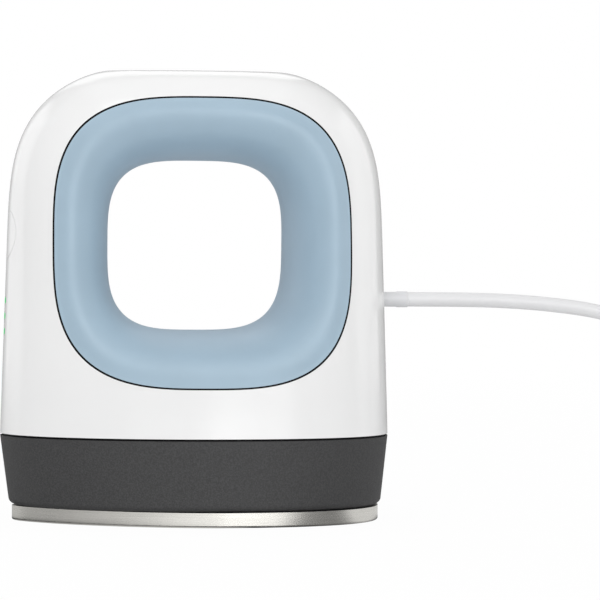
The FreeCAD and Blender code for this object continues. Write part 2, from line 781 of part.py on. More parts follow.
# ---------------------------------------------------------------- power board and what stands on it
board_top_z = board_seat_z + board_thickness
power_board = box((board_min_x, -board_half_width, board_seat_z),
                  (board_max_x, board_half_width, board_top_z))
nodes["power_board"] = drill(power_board, post_places, board_bore_radius, 0, reach)
board_screws = []
for x, y in post_places:
    shank = rod(board_screw_radius, (x, y, board_screw_tip_z), axis_z, board_top_z - board_screw_tip_z)
    head = rod(board_screw_head_radius, (x, y, board_top_z), axis_z, board_screw_head_height)
    board_screws.append(shank.fuse(head).removeSplitter())
nodes["board_screws"] = Part.makeCompound(board_screws)


def on_board(centre_x, centre_y, length, width, height):
    """Block that stands on the power board."""
    return box((centre_x - 0.5 * length, centre_y - 0.5 * width, board_top_z),
               (centre_x + 0.5 * length, centre_y + 0.5 * width, board_top_z + height))


def terminal(centre_x):
    return on_board(centre_x, 0.0, terminal_depth, 2 * terminal_half_width, terminal_height)


conductor_z = board_top_z + 0.5 * terminal_height
nodes["mains_terminal"] = terminal(mains_terminal_max_x - 0.5 * terminal_depth)
nodes["heater_terminal"] = terminal(heater_terminal_min_x + 0.5 * terminal_depth)
nodes["transformer"] = fuse_all([
    on_board(transformer_x, 0.0, transformer_length, transformer_width, transformer_height),
    on_board(transformer_x, 0.0, bobbin_length, bobbin_width, bobbin_height)])
nodes["filter_capacitor"] = on_board(filter_x, filter_y, filter_length, filter_width, filter_height)
nodes["smoothing_capacitor"] = rod(smoothing_radius, (smoothing_x, smoothing_y, board_top_z), axis_z,
                                   smoothing_height)
nodes["board_fuse"] = rod(fuse_radius, (fuse_x, fuse_y, board_top_z), axis_z, fuse_height)
nodes["triac_heatsink"] = on_board(heatsink_face_x - 0.5 * heatsink_thickness, heatsink_y,
                                   heatsink_thickness, heatsink_width, heatsink_height)
nodes["triac"] = on_board(heatsink_face_x + 0.5 * triac_length, triac_y, triac_length, triac_width,
                          triac_height)
link_max_y = link_min_y + link_depth
board_socket = box((board_socket_min_x, link_min_y, board_top_z),
                   (board_socket_min_x + board_socket_length, link_max_y,
                    board_top_z + board_socket_height))

# ---------------------------------------------------------------- button, guide, switch and lights
button_face = rod(button_radius, (-reach, 0, button_z), axis_x, reach + button_back_x).common(casing_outer)
button_hollow = rod(button_radius - button_skirt_wall, (button_crown_x, 0, button_z), axis_x,
                    button_back_x - button_crown_x)
button_flange = rod(button_flange_radius, (button_back_x - button_flange_thickness, 0, button_z), axis_x,
                    button_flange_thickness)
plunger_height = button_travel + plunger_pressed_height
plunger_front_x = control_board_x - switch_height - plunger_height
button_stem = rod(button_stem_radius, (button_crown_x, 0, button_z), axis_x, plunger_front_x - button_crown_x)
nodes["power_button"] = fuse_all([button_face.fuse(button_flange).cut(button_hollow), button_stem])

inner_limit = casing_solid(casing_wall + stack_clearance)
guide_body = rod(guide_outer_radius, (-reach, 0, button_z), axis_x, reach + control_board_x)
guide_body = guide_body.common(inner_limit)
ear_tip = guide_outer_radius + guide_ear_reach
ears = box((control_board_x - guide_ear_thickness, -guide_ear_half_width, button_z - ear_tip),
           (control_board_x, guide_ear_half_width, button_z + ear_tip))
chamber_front_x = button_back_x - button_flange_thickness - stack_clearance
guide_bore = rod(button_radius + guide_running_clearance, (-reach, 0, button_z), axis_x, 2 * reach)
chamber_radius = button_flange_radius + guide_side_clearance
guide_chamber = rod(chamber_radius, (chamber_front_x, 0, button_z), axis_x, reach)
guide_screw_places = [button_z - guide_screw_offset, button_z + guide_screw_offset]
guide_screw_holes = [rod(guide_screw_radius + screw_clearance, (-reach, 0, z), axis_x, 2 * reach)
                     for z in guide_screw_places]
nodes["button_guide"] = guide_body.fuse(ears).cut([guide_bore, guide_chamber] + guide_screw_holes)

control_board = box((control_board_x, -control_board_half_width, control_board_min_z),
                    (control_board_x + board_thickness, control_board_half_width, control_board_max_z))
nodes["control_board"] = control_board.cut(guide_screw_holes)
board_back_x = control_board_x + board_thickness
guide_screws = []
for z in guide_screw_places:
    start_x = control_board_x - guide_ear_thickness + guide_screw_tip_depth
    shank = rod(guide_screw_radius, (start_x, 0, z), axis_x, board_back_x - start_x)
    head = rod(guide_screw_head_radius, (board_back_x, 0, z), axis_x, guide_screw_head_height)
    guide_screws.append(shank.fuse(head).removeSplitter())
nodes["guide_screws"] = Part.makeCompound(guide_screws)

half_switch = 0.5 * switch_size
switch_front_x = control_board_x - switch_height
switch_body = box((switch_front_x, -half_switch, button_z - half_switch),
                  (control_board_x, half_switch, button_z + half_switch))
plunger_bore_depth = plunger_inner_length + button_travel + plunger_end_clearance
plunger_bore = rod(plunger_radius + plunger_bore_clearance, (switch_front_x - overcut, 0, button_z), axis_x,
                   overcut + plunger_bore_depth)
nodes["tact_switch"] = switch_body.cut(plunger_bore)
nodes["switch_plunger"] = rod(plunger_radius, (plunger_front_x, 0, button_z), axis_x,
                              plunger_height + plunger_inner_length)

chips = []
windows = []
for z in led_levels:
    windows.append(led_bar(z, 0.0, -reach, led_window_back_x).common(casing_outer))
    chips.append(box((control_board_x - led_chip_thickness, -led_chip_half_width, z - led_chip_half_height),
                     (control_board_x, led_chip_half_width, z + led_chip_half_height)))
nodes["led_windows"] = Part.makeCompound(windows)
nodes["indicator_leds"] = Part.makeCompound(chips)
nodes["control_chip"] = box((board_back_x, -chip_half_size, chip_z - chip_half_size),
                            (board_back_x + chip_thickness, chip_half_size, chip_z + chip_half_size))
link_low_z = control_board_min_z + rail_end_margin + rail_height + link_socket_gap
link_socket = box((board_back_x, link_min_y, link_low_z),
                  (board_back_x + link_socket_thickness, link_max_y, link_low_z + link_socket_height))
nodes["link_sockets"] = Part.makeCompound([board_socket, link_socket])

# ---------------------------------------------------------------- cord cap and strain relief
cap_plug = rod(cap_radius, (cap_back_x, 0, cord_exit_z), axis_x, reach).common(casing_outer)
cap_flange = rod(cap_flange_radius, (cap_back_x, 0, cord_exit_z), axis_x, reach).common(inner_limit)
cap_face_x = casing_half_sizes(cord_exit_z)[0]
dish_sphere_radius = (cap_dish_radius ** 2 + cap_dish_depth ** 2) / (2 * cap_dish_depth)
dish = Part.makeSphere(dish_sphere_radius,
                       Vector(cap_face_x - cap_dish_depth + dish_sphere_radius, 0, cord_exit_z))
relief_bore = rod(relief_radius + relief_bore_clearance, (0, 0, cord_exit_z), axis_x, reach)
nodes["cord_cap"] = fuse_all([cap_plug, cap_flange]).cut(relief_bore).cut(dish)

relief_back_x = cap_back_x - relief_seat_gap
relief_tube = rod(relief_radius, (relief_back_x, 0, cord_exit_z), axis_x, relief_end_x - relief_back_x)
relief_flange = rod(relief_flange_radius, (relief_back_x - relief_flange_thickness, 0, cord_exit_z), axis_x,
                    relief_flange_thickness)
grooves = []
for i in range(relief_groove_count):
    groove_x = relief_end_x - relief_groove_pitch * (i + 1)
    cutter = rod(reach, (groove_x, 0, cord_exit_z), axis_x, relief_groove_width)
    grooves.append(cutter.cut(rod(relief_radius - relief_groove_depth, (0, 0, cord_exit_z), axis_x, reach)))
nodes["strain_relief"] = fuse_all([relief_tube, relief_flange]).cut(grooves)

# ---------------------------------------------------------------- wires between the boards and the ends
relief_inner_x = relief_back_x - relief_flange_thickness
mains = []
heater_leads = []
for side in (-1, 1):
    exit_y = side * mains_exit_offset
    terminal_y = side * conductor_offset
    bends = [(x, side * y, z) for x, y, z in mains_bends]
    path = [(relief_inner_x, exit_y, cord_exit_z), (mains_exit_x, exit_y, cord_exit_z)] + bends
    path += [(mains_terminal_max_x + mains_terminal_run, terminal_y, conductor_z),
             (mains_terminal_max_x, terminal_y, conductor_z)]
    mains.append(bent_rod(path, mains_wire_radius)[0])
    path = [(wire_x, side * wire_y, element_top_z), (wire_x, side * wire_y, board_seat_z),
            (wire_x + heater_wire_run, terminal_y, conductor_z),
            (heater_terminal_min_x, terminal_y, conductor_z)]
    heater_leads.append(bent_rod(path, mains_wire_radius)[0])
nodes["mains_wires"] = Part.makeCompound(mains)
nodes["heater_wires"] = Part.makeCompound(heater_leads)

sensor_leads = []
turn_x = -0.5 * window_length + sensor_wire_inset
under_z = 0.5 * (shield_top_z + frame_floor_z)
sensor_wire_z = control_board_min_z + sensor_wire_height
for side, half_body in ((-1, 0.5 * thermistor_length), (1, 0.5 * thermal_fuse_length)):
    y = side * sensor_spacing
    sensor_leads.append(bent_rod([(-half_body, y, sensor_z), (turn_x, y, sensor_z), (turn_x, y, under_z),
                                  (sensor_bend_x, y, under_z), (sensor_rise_x, y, sensor_rise_z),
                                  (board_back_x + sensor_wire_run, y, sensor_wire_z),
                                  (board_back_x, y, sensor_wire_z)], sensor_wire_radius)[0])
nodes["sensor_wires"] = Part.makeCompound(sensor_leads)

link_wires = []
link_margin = 0.5 * (link_depth - (link_wire_count - 1) * link_wire_pitch)
socket_z = board_top_z + link_wire_z
socket_x = board_back_x + link_socket_thickness
for i in range(link_wire_count):
    y = link_min_y + link_margin + link_wire_pitch * i
    link_wires.append(bent_rod([(board_socket_min_x, y, socket_z),
                                (board_socket_min_x - link_wire_run, y, socket_z),
                                (link_bend_x, y, link_bend_z),
                                (socket_x + link_wire_reach, y, link_low_z + link_wire_z),
                                (socket_x, y, link_low_z + link_wire_z)], link_wire_radius)[0])
nodes["board_link"] = Part.makeCompound(link_wires)

# ---------------------------------------------------------------- lead, coil and plug
tube, tube_length, tube_radii = bent_rod(cord_route, cord_radius)
nodes["cord_tube"] = tube
print("cord bend radii:", " ".join("%.0f" % radius for radius in tube_radii))
print("tube volume / section x length: %.4f" % (tube.Volume / (math.pi * cord_radius ** 2 * tube_length)))
coil_turns = (cord_length - tube_length) / (full_turn * coil_mean_radius)
print("free length in tube %.0f, turns in coil %.1f" % (tube_length, coil_turns))

coil_outer_radius = coil_mean_radius + 0.5 * coil_band_width
coil_inner_radius = coil_mean_radius - 0.5 * coil_band_width
coil = rod(coil_outer_radius, (coil_centre_x, 0, 0), axis_z, coil_height)
coil = coil.cut(rod(coil_inner_radius, (coil_centre_x, 0, -overcut), axis_z, coil_height + 2 * overcut))
lead_in = box((cord_route[-1][0], -coil_outer_radius, 0),
              (coil_centre_x, 2 * cord_radius - coil_outer_radius, 2 * cord_radius))
nodes["cord_coil"] = fuse_all([coil, lead_in])

plug_centre_z = coil_height + 0.5 * plug_height


def plug_section(distance, width_share, height_share, inset=0.0):
    """Rounded rectangle across the plug, at a distance behind its face."""
    x = plug_face_x - distance
    half_width = 0.5 * plug_width * width_share - inset
    half_height = 0.5 * plug_height * height_share - inset
    corner = plug_corner_radius * min(width_share, height_share)
    flat_y = half_width - corner
    flat_z = half_height - corner
    diagonal = corner * math.sqrt(0.5)

    def at(y, z):
        return Vector(x, plug_centre_y + y, plug_centre_z + z)

    edges = []
    for side_y, side_z in ((1, 1), (-1, 1), (-1, -1), (1, -1)):
        upright = at(side_y * half_width, side_z * flat_z)
        middle = at(side_y * (flat_y + diagonal), side_z * (flat_z + diagonal))
        level = at(side_y * flat_y, side_z * half_height)
        if side_y * side_z > 0:
            edges.append(Part.Arc(upright, middle, level).toShape())
            edges.append(Part.makeLine(level, at(-side_y * flat_y, side_z * half_height)))
        else:
            edges.append(Part.Arc(level, middle, upright).toShape())
            edges.append(Part.makeLine(upright, at(side_y * half_width, -side_z * flat_z)))
    return Part.Wire(edges)


def plug_shares(distance):
    """Width and height shares of the plug's profile at a distance behind its face."""
    for (near, *near_shares), (far, *far_shares) in zip(plug_profile, plug_profile[1:]):
        if distance <= far:
            part_way = (distance - near) / (far - near)
            return [a + part_way * (b - a) for a, b in zip(near_shares, far_shares)]
    return plug_profile[-1][1:]


plug_body = Part.makeLoft([plug_section(*station) for station in plug_profile], True, True)
for i in range(plug_groove_count):
    near = plug_groove_start + i * plug_groove_pitch
    ends = [(distance, *plug_shares(distance)) for distance in (near, near + plug_groove_width)]
    kept = Part.makeLoft([plug_section(*end, plug_groove_depth) for end in ends], True, True)
    slice_box = box((plug_face_x - ends[1][0], plug_centre_y - plug_width, 0),
                    (plug_face_x - ends[0][0], plug_centre_y + plug_width, plug_centre_z + plug_height))
    plug_body = plug_body.cut(slice_box.cut(kept))
nodes["plug_body"] = plug_body
blades = []
half_blade = 0.5 * blade_height
for side in (-1, 1):
    y = plug_centre_y + side * 0.5 * blade_spacing
    blades.append(box((plug_face_x, y - 0.5 * blade_gauge, plug_centre_z - half_blade),
                      (plug_face_x + blade_length, y + 0.5 * blade_gauge, plug_centre_z + half_blade)))
nodes["plug_blades"] = Part.makeCompound(blades)

# ---------------------------------------------------------------- one STEP file per piece
os.makedirs("parts", exist_ok=True)
for name, shape in nodes.items():
    shape.exportStep("parts/" + name + ".step")
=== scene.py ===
"""Looks of a mini handheld heat press: finishes, mains lead, moulded plug, studio and camera.

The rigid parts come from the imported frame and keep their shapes. Every part gets its finish here,
the lead is laid along its route and wound into its coil, and its collar and plug are modelled in mesh.
"""
from __future__ import annotations

import logging
import math
from dataclasses import dataclass, field
from enum import Enum
from typing import Any, Iterator, Sequence, Union

import bmesh
import bpy
from mathutils import Matrix, Vector


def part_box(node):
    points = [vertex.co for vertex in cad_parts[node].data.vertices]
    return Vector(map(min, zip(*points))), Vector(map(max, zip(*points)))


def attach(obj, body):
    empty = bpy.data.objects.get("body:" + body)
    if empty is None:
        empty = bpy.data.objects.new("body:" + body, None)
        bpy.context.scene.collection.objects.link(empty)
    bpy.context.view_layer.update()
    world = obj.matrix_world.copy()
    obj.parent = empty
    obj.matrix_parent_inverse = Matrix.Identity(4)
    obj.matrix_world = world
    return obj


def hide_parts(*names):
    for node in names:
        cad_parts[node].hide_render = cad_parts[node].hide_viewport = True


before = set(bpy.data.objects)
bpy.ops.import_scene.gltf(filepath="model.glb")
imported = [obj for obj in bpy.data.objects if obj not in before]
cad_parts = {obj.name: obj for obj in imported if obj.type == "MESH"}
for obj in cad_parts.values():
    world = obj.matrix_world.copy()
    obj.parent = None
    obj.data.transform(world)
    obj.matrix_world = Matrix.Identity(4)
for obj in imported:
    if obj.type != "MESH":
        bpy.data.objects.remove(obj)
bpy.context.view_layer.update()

log = logging.getLogger("heat_press")

MM = 0.001
MERGE_DISTANCE = 0.000005
SHARP_EDGE = math.radians(35.0)
ROUNDING_SEGMENTS = 2

Colour = tuple[float, float, float]
Point = tuple[float, float, float]
Limits = tuple[float, float]

WHITE: Colour = (1.0, 1.0, 1.0)
EVEN: Point = (1.0, 1.0, 1.0)
NOISE_LIMITS: Limits = (0.3, 0.7)
CARD_AIM: Point = (0.0, 0.0, 0.40)


class Body(str, Enum):
    """The rigid bodies that pieces ride on."""

    CASING = "casing"
    BUTTON = "button"
    PLUNGER = "plunger"


class Ray(str, Enum):
    """The kinds of light path that the studio tells apart."""

    CAMERA = "Is Camera Ray"
    GLOSSY = "Is Glossy Ray"
    TRANSMISSION = "Is Transmission Ray"


class Detail(float, Enum):
    """How many finer layers a noise has."""

    SMOOTH = 1.0
    SOFT = 2.0
    MOTTLED = 3.0
    CRISP = 4.0
    FIBROUS = 5.0


# ------------------------------------------------------------------------------ shader nodes
class Signal:
    """One output of a node. Arithmetic on it adds Math nodes to the same tree."""

    def __init__(self, graph: Graph, socket: bpy.types.NodeSocket) -> None:
        """Wraps an output socket.

        Args:
            graph: the node tree that the socket belongs to.
            socket: the output socket.
        """
        self.graph = graph
        self.socket = socket

    def math(self, operation: str, *values: Value) -> Signal:
        """Adds one Math node.

        Args:
            operation: the Math node's operation.
            values: its inputs, in order.

        Returns:
            The node's result.
        """
        return self.graph.add("ShaderNodeMath", {"operation": operation}, dict(enumerate(values)))

    def __add__(self, other: Value) -> Signal:
        """Sum."""
        return self.math("ADD", self, other)

    __radd__ = __add__

    def __sub__(self, other: Value) -> Signal:
        """Difference."""
        return self.math("SUBTRACT", self, other)

    def __rsub__(self, other: Value) -> Signal:
        """Difference, with this signal taken away."""
        return self.math("SUBTRACT", other, self)

    def __mul__(self, other: Value) -> Signal:
        """Product."""
        return self.math("MULTIPLY", self, other)

    __rmul__ = __mul__

    def __truediv__(self, other: Value) -> Signal:
        """Quotient."""
        return self.math("DIVIDE", self, other)

    def __rtruediv__(self, other: Value) -> Signal:
        """Quotient, with this signal as the divisor."""
        return self.math("DIVIDE", other, self)

    def __pow__(self, other: Value) -> Signal:
        """Power."""
        return self.math("POWER", self, other)

    def magnitude(self) -> Signal:
        """Its size without its sign."""
        return self.math("ABSOLUTE", self)

    def positive(self) -> Signal:
        """1 where it is above 0, and 0 elsewhere."""
        return self.math("GREATER_THAN", self, 0.0)

    def larger(self, other: Value) -> Signal:
        """The larger of two values."""
        return self.math("MAXIMUM", self, other)

    def fade(self, start: float, end: float) -> Signal:
        """Goes smoothly from 0 where this signal is start to 1 where it is end.

        Args:
            start: value that gives 0.
            end: value that gives 1.

        Returns:
            The share, from 0 to 1.
        """
        settings = {"interpolation_type": "SMOOTHSTEP"}
        values = {"Value": self, "From Min": start, "From Max": end}
        return self.graph.add("ShaderNodeMapRange", settings, values)


Value = Union[Signal, float]


class Graph:
    """A node tree that is filled through one method."""

    def __init__(self, tree: bpy.types.NodeTree) -> None:
        """Empties a node tree, ready for new nodes.

        Args:
            tree: the tree of a material or a world.
        """
        self.tree = tree
        self.tree.nodes.clear()

    def add(self, kind: str, settings: dict[str, Any] | None = None,
            inputs: dict[Any, Any] | None = None, output: Any = 0) -> Signal | None:
        """Adds one node: its settings first, then its sockets.

        Args:
            kind: the node's type name.
            settings: the node's own properties.
            inputs: a number, a colour or a signal for each input socket, by name or place.
            output: which output to give back, by name or place.

        Returns:
            The chosen output, or None for a node that has none.
        """
        node = self.tree.nodes.new(kind)
        for name, value in (settings or {}).items():
            setattr(node, name, value)
        for key, value in (inputs or {}).items():
            socket = node.inputs[key]
            if isinstance(value, Signal):
                self.tree.links.new(value.socket, socket)
            elif socket.type == "RGBA":
                socket.default_value = (*value, 1.0)
            else:
                socket.default_value = value
        return Signal(self, node.outputs[output]) if len(node.outputs) else None

    def place(self, scale: Point = EVEN) -> Signal:
        """Object coordinates in metres, with a factor along each axis."""
        coords = self.add("ShaderNodeTexCoord", output="Object")
        return self.add("ShaderNodeMapping", None, {"Vector": coords, "Scale": scale})

    def axis(self, vector: Signal, letter: str) -> Signal:
        """The X, Y or Z part of a vector."""
        return self.add("ShaderNodeSeparateXYZ", None, {0: vector}, output=letter)

    def vector_math(self, operation: str, *vectors: Any, output: Any = 0) -> Signal:
        """Adds one Vector Math node.

        Args:
            operation: the Vector Math node's operation.
            vectors: its inputs, in order.
            output: which output to give back: "Value" where the result is a number.

        Returns:
            The node's result.
        """
        return self.add("ShaderNodeVectorMath", {"operation": operation}, dict(enumerate(vectors)), output)

    def ray(self, kind: Ray) -> Signal:
        """1 for light paths of one kind, and 0 for others."""
        return self.add("ShaderNodeLightPath", output=kind.value)

    def noise(self, size: float, detail: Detail = Detail.SOFT, stretch: Point = EVEN,
              roughness: float = 0.5) -> Signal:
        """Soft noise, mostly within NOISE_LIMITS.

        Args:
            size: width of one patch, in metres.
            detail: how many finer layers it has.
            stretch: factor on the coordinates along each axis; under 1 draws it out.
            roughness: weight of the finer layers.

        Returns:
            The noise value.
        """
        values = {"Vector": self.place(stretch), "Scale": 1.0 / size, "Detail": detail.value,
                  "Roughness": roughness}
        return self.add("ShaderNodeTexNoise", None, values)

    def tint(self, share: Value, low: Any, high: Any) -> Signal:
        """Mixes two colours.

        Args:
            share: 0 gives low and 1 gives high.
            low: colour, or a colour signal.
            high: colour, or a colour signal.

        Returns:
            The mixed colour.
        """
        settings = {"data_type": "RGBA"}
        return self.add("ShaderNodeMix", settings, {0: share, 6: low, 7: high}, output=2)

    def bump(self, height: Signal, depth: float, under: Signal | None = None) -> Signal:
        """Turns a height into a normal.

        Args:
            height: the height, from 0 to 1.
            depth: height of a full step, in metres.
            under: a coarser normal that this one lies on.

        Returns:
            The normal.
        """
        values: dict[Any, Any] = {"Height": height, "Distance": depth, "Strength": 1.0}
        if under is not None:
            values["Normal"] = under
        return self.add("ShaderNodeBump", None, values)

    def glow(self, colour: Any) -> Signal:
        """A light of full strength, in a colour or a tone."""
        return self.add("ShaderNodeEmission", None, {"Color": colour, "Strength": 1.0})

    def blend(self, share: Signal, low: Signal, high: Signal) -> Signal:
        """Mixes two shaders: low where the share is 0, and high where it is 1."""
        return self.add("ShaderNodeMixShader", None, {"Fac": share, 1: low, 2: high})


# ------------------------------------------------------------------------------ finishes
def shade(colour: Colour, factor: float) -> Colour:
    """A colour made lighter or darker.

    Args:
        colour: linear colour.
        factor: what each channel is multiplied by.

    Returns:
        The new colour, at most 1 in each channel.
    """
    return tuple(min(c * factor, 1.0) for c in colour)


@dataclass(frozen=True)
class Finish:
    """A surface whose colour drifts a little, with patchy gloss and a fine grain.

    Sizes and depths are in metres, and gloss_patch is a share of drift_size.
    """

    name: str
    colour: Colour
    roughness: float = 0.4
    metallic: float = 0.0
    drift: float = 0.04
    drift_size: float = 0.02
    gloss_spread: float = 0.08
    grain_size: float = 0.0004
    grain_depth: float = 0.000004
    fixed: tuple[tuple[str, Any], ...] = ()
    gloss_patch: float = 0.4

    def material(self) -> bpy.types.Material:
        """The material of this finish, made on first use.

        Returns:
            The material.
        """
        known = bpy.data.materials.get("finish_" + self.name)
        if known is not None:
            return known
        made = bpy.data.materials.new("finish_" + self.name)
        made.use_nodes = True
        graph = Graph(made.node_tree)
        values = {"Metallic": self.metallic, **dict(self.fixed), **self.surface(graph)}
        shader = graph.add("ShaderNodeBsdfPrincipled", None, values)
        graph.add("ShaderNodeOutputMaterial", None, {"Surface": shader})
        return made

    def base(self, graph: Graph) -> Signal:
        """The drifting colour."""
        patches = graph.noise(self.drift_size, Detail.MOTTLED).fade(*NOISE_LIMITS)
        return graph.tint(patches, shade(self.colour, 1.0 - self.drift), shade(self.colour, 1.0 + self.drift))

    def gloss(self, graph: Graph) -> Signal:
        """The patchy roughness."""
        patches = graph.noise(self.drift_size * self.gloss_patch, Detail.CRISP)
        return patches * self.gloss_spread + (self.roughness - 0.5 * self.gloss_spread)

    def grain(self, graph: Graph) -> Signal:
        """The normal of the fine grain."""
        return graph.bump(graph.noise(self.grain_size), self.grain_depth)

    def surface(self, graph: Graph) -> dict[str, Any]:
        """Inputs of the main shader.

        Args:
            graph: the material's nodes.

        Returns:
            A value or signal for each socket.
        """
        return {"Base Color": self.base(graph), "Roughness": self.gloss(graph), "Normal": self.grain(graph)}


@dataclass(frozen=True)
class GlossShell(Finish):
    """Polished white moulding: a faint orange peel under hairline scuffs."""

    peel_size: float = 0.006
    peel_depth: float = 0.000006
    scuff: float = 0.10
    scuff_width: float = 0.0009
    scuff_stretch: Point = (1.0, 1.0, 0.05)
    scuff_limits: Limits = (0.56, 0.72)
    handled_size: float = 0.018
    handled_limits: Limits = (0.4, 0.75)

    def gloss(self, graph: Graph) -> Signal:
        """Low roughness, raised where fine scuffs run through handled patches.

        Args:
            graph: the material's nodes.

        Returns:
            The roughness.
        """
        scuffs = graph.noise(self.scuff_width, Detail.MOTTLED, self.scuff_stretch).fade(*self.scuff_limits)
        handled = graph.noise(self.handled_size, Detail.MOTTLED).fade(*self.handled_limits)
        return scuffs * handled * self.scuff + super().gloss(graph)

    def grain(self, graph: Graph) -> Signal:
        """Orange peel with the fine grain on it."""
        peel = graph.bump(graph.noise(self.peel_size, Detail.SMOOTH), self.peel_depth)
        return graph.bump(graph.noise(self.grain_size), self.grain_depth, peel)


@dataclass(frozen=True)
class SoftTouch(Finish):
    """Rubbery paint: dense pebble grain that a hand has rubbed a little smoother in places."""

    rub: float = 0.10
    rub_size: float = 0.016
    rub_limits: Limits = (0.45, 0.75)
    wave_size: float = 0.004
    wave_rise: float = 1.5

    def gloss(self, graph: Graph) -> Signal:
        """Rough, with smoother rubbed patches."""
        rubbed = graph.noise(self.rub_size).fade(*self.rub_limits)
        return super().gloss(graph) - rubbed * self.rub

    def grain(self, graph: Graph) -> Signal:
        """Round pebbles over a soft waviness that is wave_rise times as deep.

        Args:
            graph: the material's nodes.

        Returns:
            The normal.
        """
        cells = {"Vector": graph.place(), "Scale": 1.0 / self.grain_size}
        pebbles = graph.add("ShaderNodeTexVoronoi", {"feature": "SMOOTH_F1"}, cells)
        wave = graph.bump(graph.noise(self.wave_size, Detail.SMOOTH), self.grain_depth * self.wave_rise)
        return graph.bump(1.0 - pebbles, self.grain_depth, wave)


@dataclass(frozen=True)
class SparkGrain(Finish):
    """Spark-eroded moulding: matt, with a coarse crisp grain whose tips are paler."""

    tip: float = 0.35
    tip_limits: Limits = (0.36, 0.66)
    crispness: float = 0.65
    worn_tone: float = 1.25
    worn_share: float = 4.0

    def relief(self, graph: Graph) -> Signal:
        """Height of the crisp grain."""
        return graph.noise(self.grain_size, Detail.CRISP, roughness=self.crispness)

    def base(self, graph: Graph) -> Signal:
        """Darker pits and paler tips, a little worn in wide patches.

        Args:
            graph: the material's nodes.

        Returns:
            The colour.
        """
        height = self.relief(graph).fade(*self.tip_limits)
        speckle = graph.tint(height, shade(self.colour, 1.0 - self.tip), shade(self.colour, 1.0 + self.tip))
        worn = graph.noise(self.drift_size).fade(*NOISE_LIMITS)
        return graph.tint(worn * self.drift * self.worn_share, speckle, shade(self.colour, self.worn_tone))

    def grain(self, graph: Graph) -> Signal:
        """The crisp grain."""
        return graph.bump(self.relief(graph), self.grain_depth)


@dataclass(frozen=True)
class BrushedMetal(Finish):
    """Metal with fine lines drawn along one direction."""

    lines: Point = (0.02, 1.0, 1.0)
    line_size: float = 0.00035
    contrast: float = 0.10
    gloss_line: float = 1.7

    def drawn(self, graph: Graph, size: float) -> Signal:
        """Noise drawn out along the lines.

        Args:
            graph: the material's nodes.
            size: width of one line, in metres.

        Returns:
            The noise value.
        """
        return graph.noise(size, Detail.CRISP, self.lines)

    def base(self, graph: Graph) -> Signal:
        """Lines of slightly different tone over a slow drift."""
        lines = self.drawn(graph, self.line_size).fade(*NOISE_LIMITS)
        return graph.tint(lines, shade(self.colour, 1.0 - self.contrast), super().base(graph))

    def gloss(self, graph: Graph) -> Signal:
        """Roughness that runs in wider lines."""
        return self.drawn(graph, self.line_size * self.gloss_line) * self.contrast + super().gloss(graph)

    def grain(self, graph: Graph) -> Signal:
        """Grooves along the lines."""
        return graph.bump(self.drawn(graph, self.line_size), self.grain_depth)


@dataclass(frozen=True)
class SoleMetal(BrushedMetal):
    """Ground plate: lines run lengthwise underneath and round its upright edge."""

    edge_lines: Point = (0.015, 0.03, 1.0)
    level_limits: Limits = (0.5, 0.8)

    def drawn(self, graph: Graph, size: float) -> Signal:
        """Lengthwise lines on level faces and level lines on upright ones.

        Args:
            graph: the material's nodes.
            size: width of one line, in metres.

        Returns:
            The noise value.
        """
        up = graph.axis(graph.add("ShaderNodeNewGeometry", output="Normal"), "Z")
        level = up.magnitude().fade(*self.level_limits)
        edge = graph.noise(size, Detail.CRISP, self.edge_lines)
        return edge + level * (super().drawn(graph, size) - edge)


@dataclass(frozen=True)
class Felt(Finish):
    """Pressed fibre: crossed strands, uneven colour."""

    strand: float = 0.0005
    strand_stretch: float = 0.12
    strand_limits: Limits = (0.45, 0.75)
    ground: float = 0.72

    def strands(self, graph: Graph) -> Signal:
        """Strands along X laid over strands along Y.

        Args:
            graph: the material's nodes.

        Returns:
            The height of the strands.
        """
        along = graph.noise(self.strand, Detail.FIBROUS, (self.strand_stretch, 1.0, 1.0))
        across = graph.noise(self.strand, Detail.FIBROUS, (1.0, self.strand_stretch, 1.0))
        return along.larger(across).fade(*self.strand_limits)

    def base(self, graph: Graph) -> Signal:
        """Paler strands on a darker ground."""
        return graph.tint(self.strands(graph), shade(self.colour, self.ground), self.colour)

    def grain(self, graph: Graph) -> Signal:
        """Relief of the strands."""
        return graph.bump(self.strands(graph), self.grain_depth)


@dataclass(frozen=True)
class Tracked(Finish):
    """Flat stock with a printed pattern of tracks: a circuit board or an etched heater foil."""

    track: Colour = (0.03, 0.16, 0.06)
    pitch: float = 0.0018
    share: float = 0.42
    edge: float = 0.03
    scatter: float = 0.35

    def tracks(self, graph: Graph) -> Signal:
        """1 on a track and 0 between tracks.

        Args:
            graph: the material's nodes.

        Returns:
            The pattern.
        """
        values = {"Vector": graph.place(), "Scale": 1.0 / self.pitch, "Randomness": self.scatter}
        cells = graph.add("ShaderNodeTexVoronoi", {"distance": "CHEBYCHEV", "feature": "F1"}, values)
        return cells.fade(self.share - self.edge, self.share + self.edge)

    def base(self, graph: Graph) -> Signal:
        """Track colour over the ground colour."""
        return graph.tint(self.tracks(graph), super().base(graph), self.track)

    def grain(self, graph: Graph) -> Signal:
        """Tracks stand a little proud."""
        return graph.bump(self.tracks(graph), self.grain_depth)


@dataclass(frozen=True)
class PairedWire(Finish):
    """Insulation that is one colour on one side of the middle plane and another on the other."""

    partner: Colour = (0.02, 0.08, 0.30)

    def base(self, graph: Graph) -> Signal:
        """Colour by side, with a slight drift."""
        side = graph.axis(graph.place(), "Y").positive()
        return graph.tint(side, self.partner, super().base(graph))


